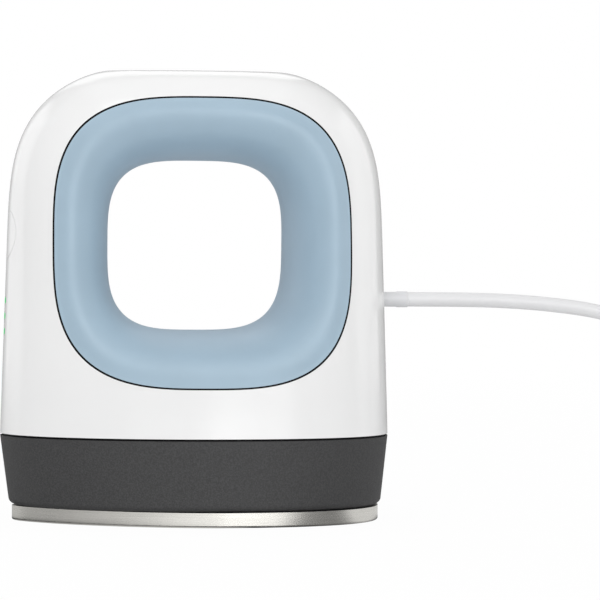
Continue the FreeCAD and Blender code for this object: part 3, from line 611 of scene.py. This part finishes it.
@dataclass(frozen=True)
class LitWindow(Finish):
    """A light pipe whose glow is slightly uneven."""

    glow: Colour = (0.03, 0.40, 0.11)
    strength: float = 1.0
    cloud_size: float = 0.0012
    cloud_limits: Limits = (0.25, 0.75)
    dimmest: float = 0.9

    def surface(self, graph: Graph) -> dict[str, Any]:
        """Adds the glow to the plain surface.

        Args:
            graph: the material's nodes.

        Returns:
            A value or signal for each socket.
        """
        clouds = graph.noise(self.cloud_size).fade(*self.cloud_limits)
        light = graph.tint(clouds, shade(self.glow, self.dimmest), self.glow)
        return {**super().surface(graph), "Emission Color": light, "Emission Strength": self.strength}


@dataclass(frozen=True)
class Jacket(Finish):
    """Satin cable sheath: a fine matt grain over a slow waviness."""

    wave_size: float = 0.005
    wave_rise: float = 3.0

    def grain(self, graph: Graph) -> Signal:
        """A fine grain over a waviness that is wave_rise times as deep."""
        wave = graph.bump(graph.noise(self.wave_size, Detail.SMOOTH), self.grain_depth * self.wave_rise)
        return graph.bump(graph.noise(self.grain_size), self.grain_depth, wave)


class Finishes:
    """Every finish of the press, by the thing that it is on."""

    shell = GlossShell("shell", (0.80, 0.80, 0.80), 0.16, drift=0.008, drift_size=0.03, gloss_spread=0.04,
                       grain_size=0.0005, grain_depth=0.0000006)
    cap = GlossShell("cap", (0.80, 0.80, 0.80), 0.20, drift=0.01, grain_depth=0.0000008)
    button = GlossShell("button", (0.80, 0.80, 0.80), 0.22, drift=0.01, grain_depth=0.0000008)
    grip = SoftTouch("grip", (0.333, 0.450, 0.545), 0.52, drift=0.02, drift_size=0.012,
                     grain_size=0.00022, grain_depth=0.000006, fixed=(("Sheen Weight", 0.15),))
    seal = Finish("seal", (0.004, 0.004, 0.005), 0.60, grain_size=0.0003,
                  fixed=(("Specular IOR Level", 0.2),))
    skirt = SparkGrain("skirt", (0.047, 0.047, 0.048), 0.62, drift=0.03, grain_size=0.00034,
                       grain_depth=0.00004, tip=0.20, fixed=(("Specular IOR Level", 0.3),))
    sole = SoleMetal("sole", (0.80, 0.785, 0.74), 0.22, 1.0, grain_depth=0.0000006, drift=0.02,
                     contrast=0.07)
    collar = Finish("collar", (0.65, 0.655, 0.67), 0.48, drift=0.02, grain_size=0.0003)
    jacket = Jacket("jacket", (0.70, 0.70, 0.71), 0.42, drift=0.015, grain_size=0.0003, grain_depth=0.000003)
    plug = SoftTouch("plug", (0.74, 0.74, 0.75), 0.45, drift=0.015, grain_size=0.0003, grain_depth=0.000006)
    blade = BrushedMetal("blade", (0.72, 0.62, 0.40), 0.28, 1.0, contrast=0.12)
    window = LitWindow("window", (0.010, 0.160, 0.045), 0.30, drift=0.02,
                       fixed=(("Specular IOR Level", 0.1),))
    chassis = SparkGrain("chassis", (0.16, 0.16, 0.165), 0.55, tip=0.12, grain_depth=0.00002)
    screw = BrushedMetal("screw", (0.40, 0.40, 0.42), 0.34, 1.0, lines=(1.0, 0.3, 1.0), contrast=0.2)
    foil = Tracked("foil", (0.42, 0.17, 0.035), 0.25, track=(0.60, 0.36, 0.14), pitch=0.0024,
                   grain_depth=0.00003)
    clamp = BrushedMetal("clamp", (0.66, 0.67, 0.69), 0.42, 1.0, lines=(0.05, 1.0, 1.0))
    fibre = Felt("fibre", (0.74, 0.72, 0.66), 0.95, grain_depth=0.00012)
    shield = BrushedMetal("shield", (0.60, 0.61, 0.62), 0.36, 1.0, lines=(0.5, 0.8, 1.0), line_size=0.003,
                          contrast=0.18)
    bead = Finish("bead", (0.30, 0.11, 0.03), 0.12, drift=0.1, fixed=(("Coat Weight", 0.6),))
    fuse = BrushedMetal("fuse", (0.62, 0.60, 0.56), 0.35, 1.0)
    board = Tracked("board", (0.010, 0.085, 0.030), 0.32, track=(0.018, 0.150, 0.055), grain_depth=0.000035,
                    fixed=(("Coat Weight", 0.3),))
    terminal = Finish("terminal", (0.05, 0.26, 0.12), 0.38)
    black_part = Finish("black_part", (0.022, 0.022, 0.024), 0.45, drift=0.08)
    yellow_part = Finish("yellow_part", (0.62, 0.42, 0.05), 0.35, drift=0.06)
    mains_wire = PairedWire("mains_wire", (0.16, 0.06, 0.025), 0.42)
    heater_wire = PairedWire("heater_wire", (0.62, 0.60, 0.56), 0.60, partner=(0.55, 0.06, 0.04),
                             grain_size=0.0006, grain_depth=0.00004)
    signal_wire = PairedWire("signal_wire", (0.60, 0.03, 0.02), 0.42, partner=(0.03, 0.03, 0.035))


# ------------------------------------------------------------------------------ mesh helpers
def finished(name: str, bm: bmesh.types.BMesh, finish: Finish, body: Body,
             replaces: Sequence[str]) -> bpy.types.Object:
    """Turns a bmesh into a finished piece that rides on a body.

    Args:
        name: the piece's name.
        bm: its shape, in metres, in place. It is freed.
        finish: its finish.
        body: the body that it rides on.
        replaces: the nodes that it stands for.

    Returns:
        The piece.
    """
    bmesh.ops.remove_doubles(bm, verts=bm.verts, dist=MERGE_DISTANCE)
    bmesh.ops.recalc_face_normals(bm, faces=bm.faces)
    mesh = bpy.data.meshes.new(name)
    bm.to_mesh(mesh)
    bm.free()
    mesh.shade_smooth()
    mesh.materials.append(finish.material())
    piece = bpy.data.objects.new(name, mesh)
    bpy.context.scene.collection.objects.link(piece)
    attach(piece, body.value)
    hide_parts(*replaces)
    return piece


def round_edges(piece: bpy.types.Object, width: float) -> None:
    """Rounds a piece's sharp edges with a live bevel.

    Args:
        piece: the piece.
        width: width of the rounding, in millimetres.
    """
    rounding = piece.modifiers.new("rounding", "BEVEL")
    rounding.width = width * MM
    rounding.segments = ROUNDING_SEGMENTS
    rounding.limit_method = "ANGLE"
    rounding.angle_limit = SHARP_EDGE


def dress(node: str, finish: Finish) -> None:
    """Gives a frame part its finish.

    Args:
        node: the part's name.
        finish: its finish.
    """
    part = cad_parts[node]
    part.data.materials.clear()
    part.data.materials.append(finish.material())
    log.info("part %s: finish %s", node, finish.name)


# ------------------------------------------------------------------------------ lead, collar and plug
@dataclass
class Plug:
    """Two-blade moulded plug: flat body, waisted grip with ribs and a tapered nose for the lead.

    Sizes are in millimetres. A section is its distance behind the one before it, then its width and its
    height as shares of the rim's.
    """

    face_x: float = 197.0
    centre_y: float = -12.0
    centre_z: float = 18.0
    width: float = 17.0
    height: float = 12.0
    corner: float = 3.0
    corner_segments: int = 6
    rim_length: float = 4.0
    dish_inset: float = 1.0
    dish_depth: float = 0.4
    edge_rounding: float = 0.3
    grip_sections: tuple[tuple[float, float, float], ...] = (
        (1.0, 0.93, 0.93), (1.6, 0.86, 0.90), (0.7, 0.82, 0.84), (0.9, 0.82, 0.84), (0.7, 0.86, 0.90),
        (0.9, 0.84, 0.89), (0.7, 0.79, 0.82), (0.9, 0.78, 0.81), (0.7, 0.82, 0.87), (0.9, 0.80, 0.86),
        (0.7, 0.75, 0.79), (0.9, 0.73, 0.78), (0.7, 0.77, 0.83), (1.4, 0.70, 0.80), (1.6, 0.50, 0.70),
        (1.4, 0.38, 0.54),
    )
    nose_sections: tuple[tuple[float, float, float], ...] = (
        (1.0, 0.345, 0.49), (1.2, 0.335, 0.475), (1.3, 0.325, 0.46), (1.0, 0.30, 0.43), (1.8, 0.285, 0.405),
    )

    def build(self) -> bpy.types.Object:
        """Models the plug from its face back to its nose.

        Returns:
            The finished piece.
        """
        bm = bmesh.new()
        middle = Vector((self.face_x - 0.5 * self.rim_length, self.centre_y, self.centre_z)) * MM
        size = Matrix.Diagonal(Vector((self.rim_length, self.width, self.height, 1.0 / MM)) * MM)
        bmesh.ops.create_cube(bm, size=1.0, matrix=Matrix.Translation(middle) @ size)
        half_rim = 0.5 * self.rim_length * MM
        long_edges = [e for e in bm.edges if abs((e.verts[0].co - e.verts[1].co).x) > half_rim]
        bmesh.ops.bevel(bm, geom=long_edges, offset=self.corner * MM, offset_type="OFFSET",
                        segments=self.corner_segments, profile=0.5, affect="EDGES", material=-1)
        back = min(bm.faces, key=lambda f: f.calc_center_median().x)
        outline = {v: v.co.copy() for v in back.verts}
        shape = [(v.co.y / MM - self.centre_y, v.co.z / MM - self.centre_z) for v in outline]
        x = self.face_x - self.rim_length
        for run, wide, tall in self.grip_sections + self.nose_sections:
            x -= run
            back = bmesh.ops.extrude_discrete_faces(bm, faces=[back])["faces"][0]
            for vert, (y, z) in zip(back.verts, shape):
                vert.co = Vector((x, self.centre_y + y * wide, self.centre_z + z * tall)) * MM
        front = max(bm.faces, key=lambda f: f.calc_center_median().x)
        bmesh.ops.inset_region(bm, faces=[front], thickness=self.dish_inset * MM, depth=0.0,
                               use_even_offset=True)
        bmesh.ops.translate(bm, verts=front.verts, vec=Vector((-self.dish_depth * MM, 0.0, 0.0)))
        piece = finished("moulded_plug", bm, Finishes.plug, Body.CASING, ["plug_body"])
        round_edges(piece, self.edge_rounding)
        dress("plug_blades", Finishes.blade)
        log.info("piece %s", piece.name)
        return piece


@dataclass
class Collar:
    """Smooth sleeve that the lead comes out of: a flange behind the cap and a thicker rim at its end.

    Sizes are in millimetres.
    """

    tube_radius: float = 1.7
    rim_radius: float = 1.82
    rim_length: float = 2.4
    rim_rise: float = 0.5
    rim_rounding: float = 0.15
    flange_thickness: float = 1.8
    edge_rounding: float = 0.06
    segments: int = 64

    def build(self) -> bpy.types.Object:
        """Turns the sleeve round the lead's axis.

        Returns:
            The finished piece.
        """
        low, high = (Vector(corner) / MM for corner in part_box("strain_relief"))
        middle = (low + high) * 0.5
        flange_radius = high.z - middle.z
        rim_x = high.x - self.rim_length
        profile = (
            (low.x, 0.0), (low.x, flange_radius), (low.x + self.flange_thickness, flange_radius),
            (low.x + self.flange_thickness, self.tube_radius), (rim_x - self.rim_rise, self.tube_radius),
            (rim_x, self.rim_radius), (high.x - self.rim_rounding, self.rim_radius),
            (high.x, self.rim_radius - self.rim_rounding), (high.x, 0.0),
        )
        bm = bmesh.new()
        verts = [bm.verts.new(Vector((x, middle.y, middle.z + radius)) * MM) for x, radius in profile]
        edges = [bm.edges.new(pair) for pair in zip(verts, verts[1:])]
        bmesh.ops.spin(bm, geom=verts + edges, cent=middle * MM, axis=(1.0, 0.0, 0.0), angle=2.0 * math.pi,
                       steps=self.segments, use_merge=True)
        piece = finished("lead_collar", bm, Finishes.collar, Body.CASING, ["strain_relief"])
        round_edges(piece, self.edge_rounding)
        log.info("piece %s", piece.name)
        return piece


@dataclass
class MainsLead:
    """The pale lead: its free run, the coil that it is wound into and the end that climbs to the plug.

    Sizes and points are in millimetres. A turn holds its slot for the share hold of its round at first, and
    where a layer ends, and then changes slot within the share change of a round.
    """

    diameter: float = 3.3
    length: float = 1800.0
    route: tuple[Point, ...] = (
        (48.8, 0.0, 49.6), (58.7, 0.0, 49.6), (70.4, 0.0, 49.4), (82.1, 0.0, 48.6), (94.0, -0.4, 47.0),
        (106.0, -1.8, 43.2), (116.5, -4.4, 36.3), (125.0, -8.0, 27.2), (133.0, -12.0, 17.2),
        (141.0, -16.6, 9.6), (149.5, -21.0, 4.4), (158.4, -23.95, 1.65), (167.4, -23.95, 1.65),
    )
    coil_centre_x: float = 180.0
    outer_turn: float = 23.95
    turns_by_layer: tuple[int, ...] = (4, 3, 4, 3)
    nesting_angle: float = 60.0
    points_per_turn: int = 16
    start_turn: float = -0.25
    hold: float = 0.75
    change: float = 0.25
    tail: tuple[Point, ...] = (
        (184.3, -22.3, 10.9), (192.7, -18.8, 12.0), (198.3, -12.4, 12.9), (201.1, -4.1, 13.2),
        (200.9, 4.1, 13.2), (197.7, 12.0, 13.2), (192.0, 17.7, 13.2), (184.0, 21.0, 13.2),
        (175.2, 21.6, 13.4), (166.2, 20.2, 13.9), (157.8, 14.6, 14.7), (154.4, 5.6, 15.8),
        (156.2, -4.2, 16.9), (162.6, -11.2, 17.8), (168.5, -12.0, 18.0), (173.5, -12.0, 18.0),
    )
    order: int = 3
    steps_between_points: int = 6
    steps_round: int = 6

    def slots(self) -> list[tuple[float, float, int]]:
        """Radius, height and layer of each turn in winding order, packed a diameter apart.

        Returns:
            One row for each turn.
        """
        rows = []
        for layer, count in enumerate(self.turns_by_layer):
            first = self.outer_turn - (0.5 * self.diameter if layer % 2 else 0.0)
            radii = [first - i * self.diameter for i in range(count)]
            height = 0.5 * self.diameter + layer * self.diameter * math.sin(math.radians(self.nesting_angle))
            inward = layer % 2 == 0
            rows += [(radius, height, layer) for radius in (radii if inward else reversed(radii))]
        return rows

    def coil(self) -> Iterator[Point]:
        """Control points of the wound turns.

        Yields:
            Points in millimetres, in winding order.
        """
        slots = self.slots()
        changes = []
        moment = self.hold
        for following, beyond in zip(slots[1:], slots[2:] + [slots[-1]]):
            changes.append(moment)
            moment += self.hold if following[2] != beyond[2] else 1.0
        spread = 1.0 / math.cos(math.pi / self.points_per_turn)
        end = changes[-1] + 1.0
        for i in range(int(end * self.points_per_turn)):
            turn = (i + 0.5) / self.points_per_turn
            radius, height, _ = slots[0]
            for moment, (new_radius, new_height, _) in zip(changes, slots[1:]):
                share = min(max((turn - moment) / self.change, 0.0), 1.0)
                share = share * share * (3.0 - 2.0 * share)
                radius += (new_radius - radius) * share
                height += (new_height - height) * share
            angle = 2.0 * math.pi * (turn + self.start_turn)
            reach = radius * spread
            yield (self.coil_centre_x + reach * math.cos(angle), reach * math.sin(angle), height)

    def build(self, plug: bpy.types.Object, collar: bpy.types.Object) -> bpy.types.Object:
        """Lays the lead as one smooth line.

        Args:
            plug: the moulded plug at its end; not used.
            collar: the sleeve that it comes out of; not used.

        Returns:
            The lead.
        """
        points = [*self.route, *self.coil(), *self.tail]
        curve = bpy.data.curves.new("mains_lead", "CURVE")
        curve.dimensions = "3D"
        line = curve.splines.new("NURBS")
        line.points.add(len(points) - 1)
        for knot, point in zip(line.points, points):
            knot.co = (*(Vector(point) * MM), 1.0)
        line.order_u = self.order
        line.use_endpoint_u = True
        line.resolution_u = self.steps_between_points
        curve.bevel_depth = 0.5 * self.diameter * MM
        curve.bevel_resolution = self.steps_round
        curve.use_fill_caps = True
        curve.materials.append(Finishes.jacket.material())
        lead = bpy.data.objects.new("mains_lead", curve)
        bpy.context.scene.collection.objects.link(lead)
        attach(lead, Body.CASING.value)
        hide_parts("cord_tube", "cord_coil")
        Vector(self.route[0]) * MM
        log.info("piece %s: %d points", lead.name, len(points))
        return lead


# ------------------------------------------------------------------------------ rigid parts
@dataclass
class Assembly:
    """Rigid parts that belong together, each with its finish."""

    finishes: dict[str, Finish] = field(default_factory=dict)

    def build(self) -> None:
        """Dresses every part."""
        for node, finish in self.finishes.items():
            dress(node, finish)


@dataclass
class Casing(Assembly):
    """White shells, the cap at the lead and the screws that close them."""

    finishes: dict[str, Finish] = field(default_factory=lambda: {
        "front_shell": Finishes.shell, "rear_shell": Finishes.shell, "cord_cap": Finishes.cap,
        "casing_screws": Finishes.screw})


@dataclass
class Grip(Assembly):
    """Blue funnels that line the opening and the black seals round them."""

    finishes: dict[str, Finish] = field(default_factory=lambda: {
        "front_grip_ring": Finishes.grip, "rear_grip_ring": Finishes.grip,
        "front_ring_seal": Finishes.seal, "rear_ring_seal": Finishes.seal})


@dataclass
class HeatedBase(Assembly):
    """Skirt, sole plate and the heater stack between them."""

    finishes: dict[str, Finish] = field(default_factory=lambda: {
        "heat_plate": Finishes.sole, "plate_gasket": Finishes.seal, "base_skirt": Finishes.skirt,
        "seam_seal": Finishes.seal, "heating_element": Finishes.foil, "element_clamp": Finishes.clamp,
        "insulation_pad": Finishes.fibre, "heat_shield": Finishes.shield, "plate_spacers": Finishes.clamp,
        "plate_screws": Finishes.screw, "thermistor": Finishes.bead, "thermal_fuse": Finishes.fuse,
        "sensor_clip": Finishes.clamp, "inner_frame": Finishes.chassis})


@dataclass
class Electronics(Assembly):
    """Power board, control board, their components and the wiring."""

    finishes: dict[str, Finish] = field(default_factory=lambda: {
        "power_board": Finishes.board, "control_board": Finishes.board, "board_screws": Finishes.screw,
        "mains_terminal": Finishes.terminal, "heater_terminal": Finishes.terminal,
        "transformer": Finishes.yellow_part, "filter_capacitor": Finishes.yellow_part,
        "smoothing_capacitor": Finishes.black_part, "board_fuse": Finishes.fuse, "triac": Finishes.black_part,
        "triac_heatsink": Finishes.clamp, "control_chip": Finishes.black_part,
        "indicator_leds": Finishes.yellow_part, "link_sockets": Finishes.fibre,
        "mains_wires": Finishes.mains_wire, "heater_wires": Finishes.heater_wire,
        "sensor_wires": Finishes.signal_wire, "board_link": Finishes.signal_wire})


@dataclass
class ButtonEnd(Assembly):
    """Round button in the narrow end, its guide and switch, and the three status lights."""

    finishes: dict[str, Finish] = field(default_factory=lambda: {
        "power_button": Finishes.button, "button_guide": Finishes.chassis, "guide_screws": Finishes.screw,
        "tact_switch": Finishes.black_part, "switch_plunger": Finishes.black_part,
        "led_windows": Finishes.window})


# ------------------------------------------------------------------------------ studio
@dataclass(frozen=True)
class SoftBox:
    """A rectangular studio light. One that is only_mirrored shows in gloss and lights nothing matt."""

    name: str
    place: Point
    width: float
    height: float
    power: float
    aim: Point = (0.0, 0.0, 0.055)
    only_mirrored: bool = False

    def build(self) -> None:
        """Hangs the light and turns it to its aim."""
        lamp = bpy.data.lights.new(self.name, "AREA")
        lamp.shape = "RECTANGLE"
        lamp.size = self.width
        lamp.size_y = self.height
        lamp.energy = self.power
        light = bpy.data.objects.new(self.name, lamp)
        light.location = self.place
        ahead = Vector(self.aim) - Vector(self.place)
        light.rotation_euler = ahead.to_track_quat("-Z", "Y").to_euler()
        light.visible_camera = False
        light.visible_diffuse = not self.only_mirrored
        bpy.context.scene.collection.objects.link(light)
        log.info("light %s", self.name)


@dataclass(frozen=True)
class Surround:
    """How bright the studio is in each direction. The tones run smoothly into each other."""

    front: float
    back: float
    left: float
    right: float
    above: float
    below: float

    def tone(self, graph: Graph, direction: Signal) -> Signal:
        """Brightness in a direction.

        Args:
            graph: the nodes that it is added to.
            direction: the direction, of any length.

        Returns:
            The tone.
        """
        unit = graph.vector_math("NORMALIZE", direction)
        across = self._part(graph.axis(unit, "X"), self.left, self.right)
        along = self._part(graph.axis(unit, "Y"), self.front, self.back)
        upright = self._part(graph.axis(unit, "Z"), self.below, self.above)
        return across + along + upright

    @staticmethod
    def _part(axis: Signal, low: float, high: float) -> Signal:
        """What one axis adds: low towards its negative end and high towards its positive end."""
        return axis * axis * (axis.positive() * (high - low) + low)


@dataclass(frozen=True)
class PaintedDarkReflection:
    """A painted dark reflection: a dark patch painted into the floor's tone in gloss near the press, which
    shows only where metal mirrors it.

    Its angle is from straight in front towards the right and its spread is half its width, in degrees.
    """

    angle: float
    spread: float
    tone: float

    def dim(self, graph: Graph, direction: Signal) -> Signal:
        """How much of the light is left in a direction.

        Args:
            graph: the nodes that it is added to.
            direction: the direction, of any length.

        Returns:
            The painted dark patch's tone at its middle, rising to 1 at its soft edges.
        """
        turn = math.radians(self.angle)
        middle = (math.sin(turn), -math.cos(turn), 0.0)
        facing = graph.vector_math("DOT_PRODUCT", graph.vector_math("NORMALIZE", direction), middle,
                                   output="Value")
        return 1.0 - facing.fade(math.cos(math.radians(self.spread)), 1.0) * (1.0 - self.tone)


@dataclass
class Studio:
    """Pale floor, soft surroundings and soft lights."""

    floor_radius: float = 4.0
    floor_sides: int = 96
    floor_colour: Colour = (0.86, 0.86, 0.86)
    floor_roughness: float = 0.9
    speckle_size: float = 0.002
    speckle_tone: float = 0.995
    veil: float = 0.96
    veil_limits: Limits = (0.25, 0.9)
    dome: Surround = Surround(front=0.82, back=0.46, left=0.65, right=0.71, above=0.71, below=0.60)
    mirrored: Surround = Surround(front=0.05, back=0.32, left=0.03, right=0.03, above=0.20, below=0.60)
    # Painted reflection for the plate: the floor's own tone in gloss near the press, and where it fades out.
    painted_reflection_limits: Limits = (0.15, 0.45)
    painted_reflection_surround: Surround = Surround(front=1.0, back=0.6, left=0.5, right=0.7, above=0.0, below=0.0)
    painted_dark_patch: PaintedDarkReflection = PaintedDarkReflection(angle=50.0, spread=20.0, tone=0.25)
    foot_centre_x: float = 0.0045
    foot_power: float = 1.8
    # Painted contact shadow at the plate's foot, in the floor's tone in gloss.
    painted_contact_shadow_limits: Limits = (1.02, 1.30)
    painted_contact_shadow_tone: float = 0.06
    lights: tuple[SoftBox, ...] = (
        SoftBox("key_light", (-0.35, -0.95, 1.05), 0.9, 0.9, 4.1),
        SoftBox("front_light", (-0.20, -1.40, 0.40), 1.0, 0.8, 3.2),
        SoftBox("right_light", (1.05, -0.90, 0.50), 0.8, 0.9, 1.1),
        SoftBox("top_light", (0.0, -0.10, 1.30), 1.2, 1.0, 1.7),
        SoftBox("rim_light", (-1.0, 0.55, 0.60), 0.8, 0.8, 0.7),
        SoftBox("throat_light", (0.0, 0.95, 1.00), 0.9, 0.7, 2.4),
        SoftBox("front_card", (0.24, -0.97, 0.40), 0.46, 1.0, 3.6, CARD_AIM, True),
        SoftBox("left_card", (-0.85, 0.53, 0.40), 0.80, 1.0, 3.0, CARD_AIM, True),
        SoftBox("right_card", (0.98, 0.17, 0.40), 0.80, 1.0, 3.1, CARD_AIM, True),
    )

    def build(self) -> None:
        """Builds the floor, the surroundings and the lights."""
        self._floor()
        self._world()
        for light in self.lights:
            light.build()
        bpy.context.scene.view_settings.view_transform = "Standard"

    def _foot(self, graph: Graph) -> Signal:
        """Measure that is 1 on the plate's outline, less inside it and more outside.

        Args:
            graph: the floor's nodes.

        Returns:
            The measure.
        """
        low, high = (Vector(corner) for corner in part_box("heat_plate"))
        nose, tail = self.foot_centre_x - low.x, high.x - self.foot_centre_x
        place = graph.place()
        along = graph.axis(place, "X") - self.foot_centre_x
        share = along / (along.positive() * (tail - nose) + nose)
        width = graph.axis(place, "Y") / high.y
        return share.magnitude() ** self.foot_power + width.magnitude() ** self.foot_power

    def _painted_reflection_tone(self, graph: Graph, foot: Signal) -> Signal:
        """Painted reflection that the plate mirrors in the floor round it: bright in front, darker to the
        sides under a painted dark patch, and darkest at its foot under a painted contact shadow.

        Args:
            graph: the floor's nodes.
            foot: the measure of the plate's outline.

        Returns:
            The tone.
        """
        direction = graph.place()
        # Painted reflection: the floor's gloss tone by direction, dimmed by a painted dark patch.
        tone = self.painted_reflection_surround.tone(graph, direction) * self.painted_dark_patch.dim(graph, direction)
        # Painted contact shadow: the mirrored tone drops to this level at the plate's foot.
        dark = self.painted_contact_shadow_tone
        return tone * (foot.fade(*self.painted_contact_shadow_limits) * (1.0 - dark) + dark)

    def _veiled_floor(self, graph: Graph, distance: Signal) -> Signal:
        """The floor as it lights the press and is seen: pale and matt, under a veil of white for the camera.

        Args:
            graph: the floor's nodes.
            distance: the distance from the press.

        Returns:
            The shader.
        """
        speckle = graph.noise(self.speckle_size, Detail.MOTTLED).fade(*NOISE_LIMITS)
        colour = graph.tint(speckle, shade(self.floor_colour, self.speckle_tone), self.floor_colour)
        values = {"Base Color": colour, "Roughness": self.floor_roughness}
        matt = graph.add("ShaderNodeBsdfPrincipled", None, values)
        share = graph.ray(Ray.CAMERA) * (distance.fade(*self.veil_limits) * (1.0 - self.veil) + self.veil)
        return graph.blend(share, matt, graph.glow(WHITE))

    def _floor_material(self) -> bpy.types.Material:
        """The floor's material, with a painted reflection tone of its own in gloss. It is clear from below
        and under the sole.

        Returns:
            The material.
        """
        made = bpy.data.materials.new("finish_floor")
        made.use_nodes = True
        graph = Graph(made.node_tree)
        distance = graph.vector_math("LENGTH", graph.place(), output="Value")
        foot = self._foot(graph)
        surround = self.mirrored.tone(graph, graph.place())
        # Painted reflection near the press, fading into the mirrored surround further out.
        tone = graph.tint(distance.fade(*self.painted_reflection_limits), self._painted_reflection_tone(graph, foot), surround)
        mixed = graph.blend(graph.ray(Ray.GLOSSY), self._veiled_floor(graph, distance), graph.glow(tone))
        back = graph.add("ShaderNodeNewGeometry", output="Backfacing")
        gone = back.larger(foot.math("LESS_THAN", foot, 1.0))
        shown = graph.blend(gone, mixed, graph.add("ShaderNodeBsdfTransparent"))
        graph.add("ShaderNodeOutputMaterial", None, {"Surface": shown})
        return made

    def _floor(self) -> None:
        """A round pale floor that keeps a faint shadow near the press."""
        bm = bmesh.new()
        bmesh.ops.create_circle(bm, cap_ends=True, radius=self.floor_radius, segments=self.floor_sides)
        mesh = bpy.data.meshes.new("floor")
        bm.to_mesh(mesh)
        bm.free()
        mesh.materials.append(self._floor_material())
        floor = bpy.data.objects.new("floor", mesh)
        bpy.context.scene.collection.objects.link(floor)
        log.info("stage floor")

    def _world(self) -> None:
        """White where it is seen, with one soft surround for the light and one for what gloss mirrors."""
        world = bpy.data.worlds.new("surroundings")
        bpy.context.scene.world = world
        world.use_nodes = True
        graph = Graph(world.node_tree)
        direct = graph.ray(Ray.CAMERA).larger(graph.ray(Ray.TRANSMISSION))
        direction = graph.add("ShaderNodeTexCoord", output="Generated")
        light = self.dome.tone(graph, direction)
        soft = light + graph.ray(Ray.GLOSSY) * (self.mirrored.tone(graph, direction) - light)
        values = {"Color": WHITE, "Strength": soft + direct * (1.0 - soft)}
        back = graph.add("ShaderNodeBackground", None, values)
        graph.add("ShaderNodeOutputWorld", None, {"Surface": back})


@dataclass
class ViewCamera:
    """The viewing angle: level, square to the broad face and a little from the button end."""

    place: Point = (-0.06674, -0.61768, 0.06039)
    yaw: float = 0.14579
    pitch: float = 0.01766
    roll: float = 0.00595
    lens: float = 164.93
    sensor: float = 36.0
    nearest: float = 0.01
    farthest: float = 50.0

    def build(self) -> None:
        """Places the camera and makes it the scene's own."""
        data = bpy.data.cameras.new("view_camera")
        data.lens = self.lens
        data.sensor_width = self.sensor
        data.clip_start = self.nearest
        data.clip_end = self.farthest
        camera = bpy.data.objects.new("view_camera", data)
        right = Vector((math.cos(self.yaw), -math.sin(self.yaw), 0.0))
        ahead = Vector((math.sin(self.yaw) * math.cos(self.pitch), math.cos(self.yaw) * math.cos(self.pitch),
                        -math.sin(self.pitch)))
        up = right.cross(ahead)
        turned_right = math.cos(self.roll) * right + math.sin(self.roll) * up
        turned_up = math.cos(self.roll) * up - math.sin(self.roll) * right
        axes = Matrix((turned_right, turned_up, -ahead)).transposed().to_4x4()
        camera.matrix_world = Matrix.Translation(self.place) @ axes
        bpy.context.scene.collection.objects.link(camera)
        bpy.context.scene.camera = camera
        log.info("camera %s", camera.name)


def main() -> None:
    """Builds the press, the studio and the camera in order."""
    logging.basicConfig(level=logging.INFO, format="%(name)s: %(message)s")
    ViewCamera().build()
    MainsLead().build(Plug().build(), Collar().build())
    for assembly in (Casing(), Grip(), HeatedBase(), Electronics(), ButtonEnd(), Studio()):
        assembly.build()


if __name__ == "__main__":
    main()
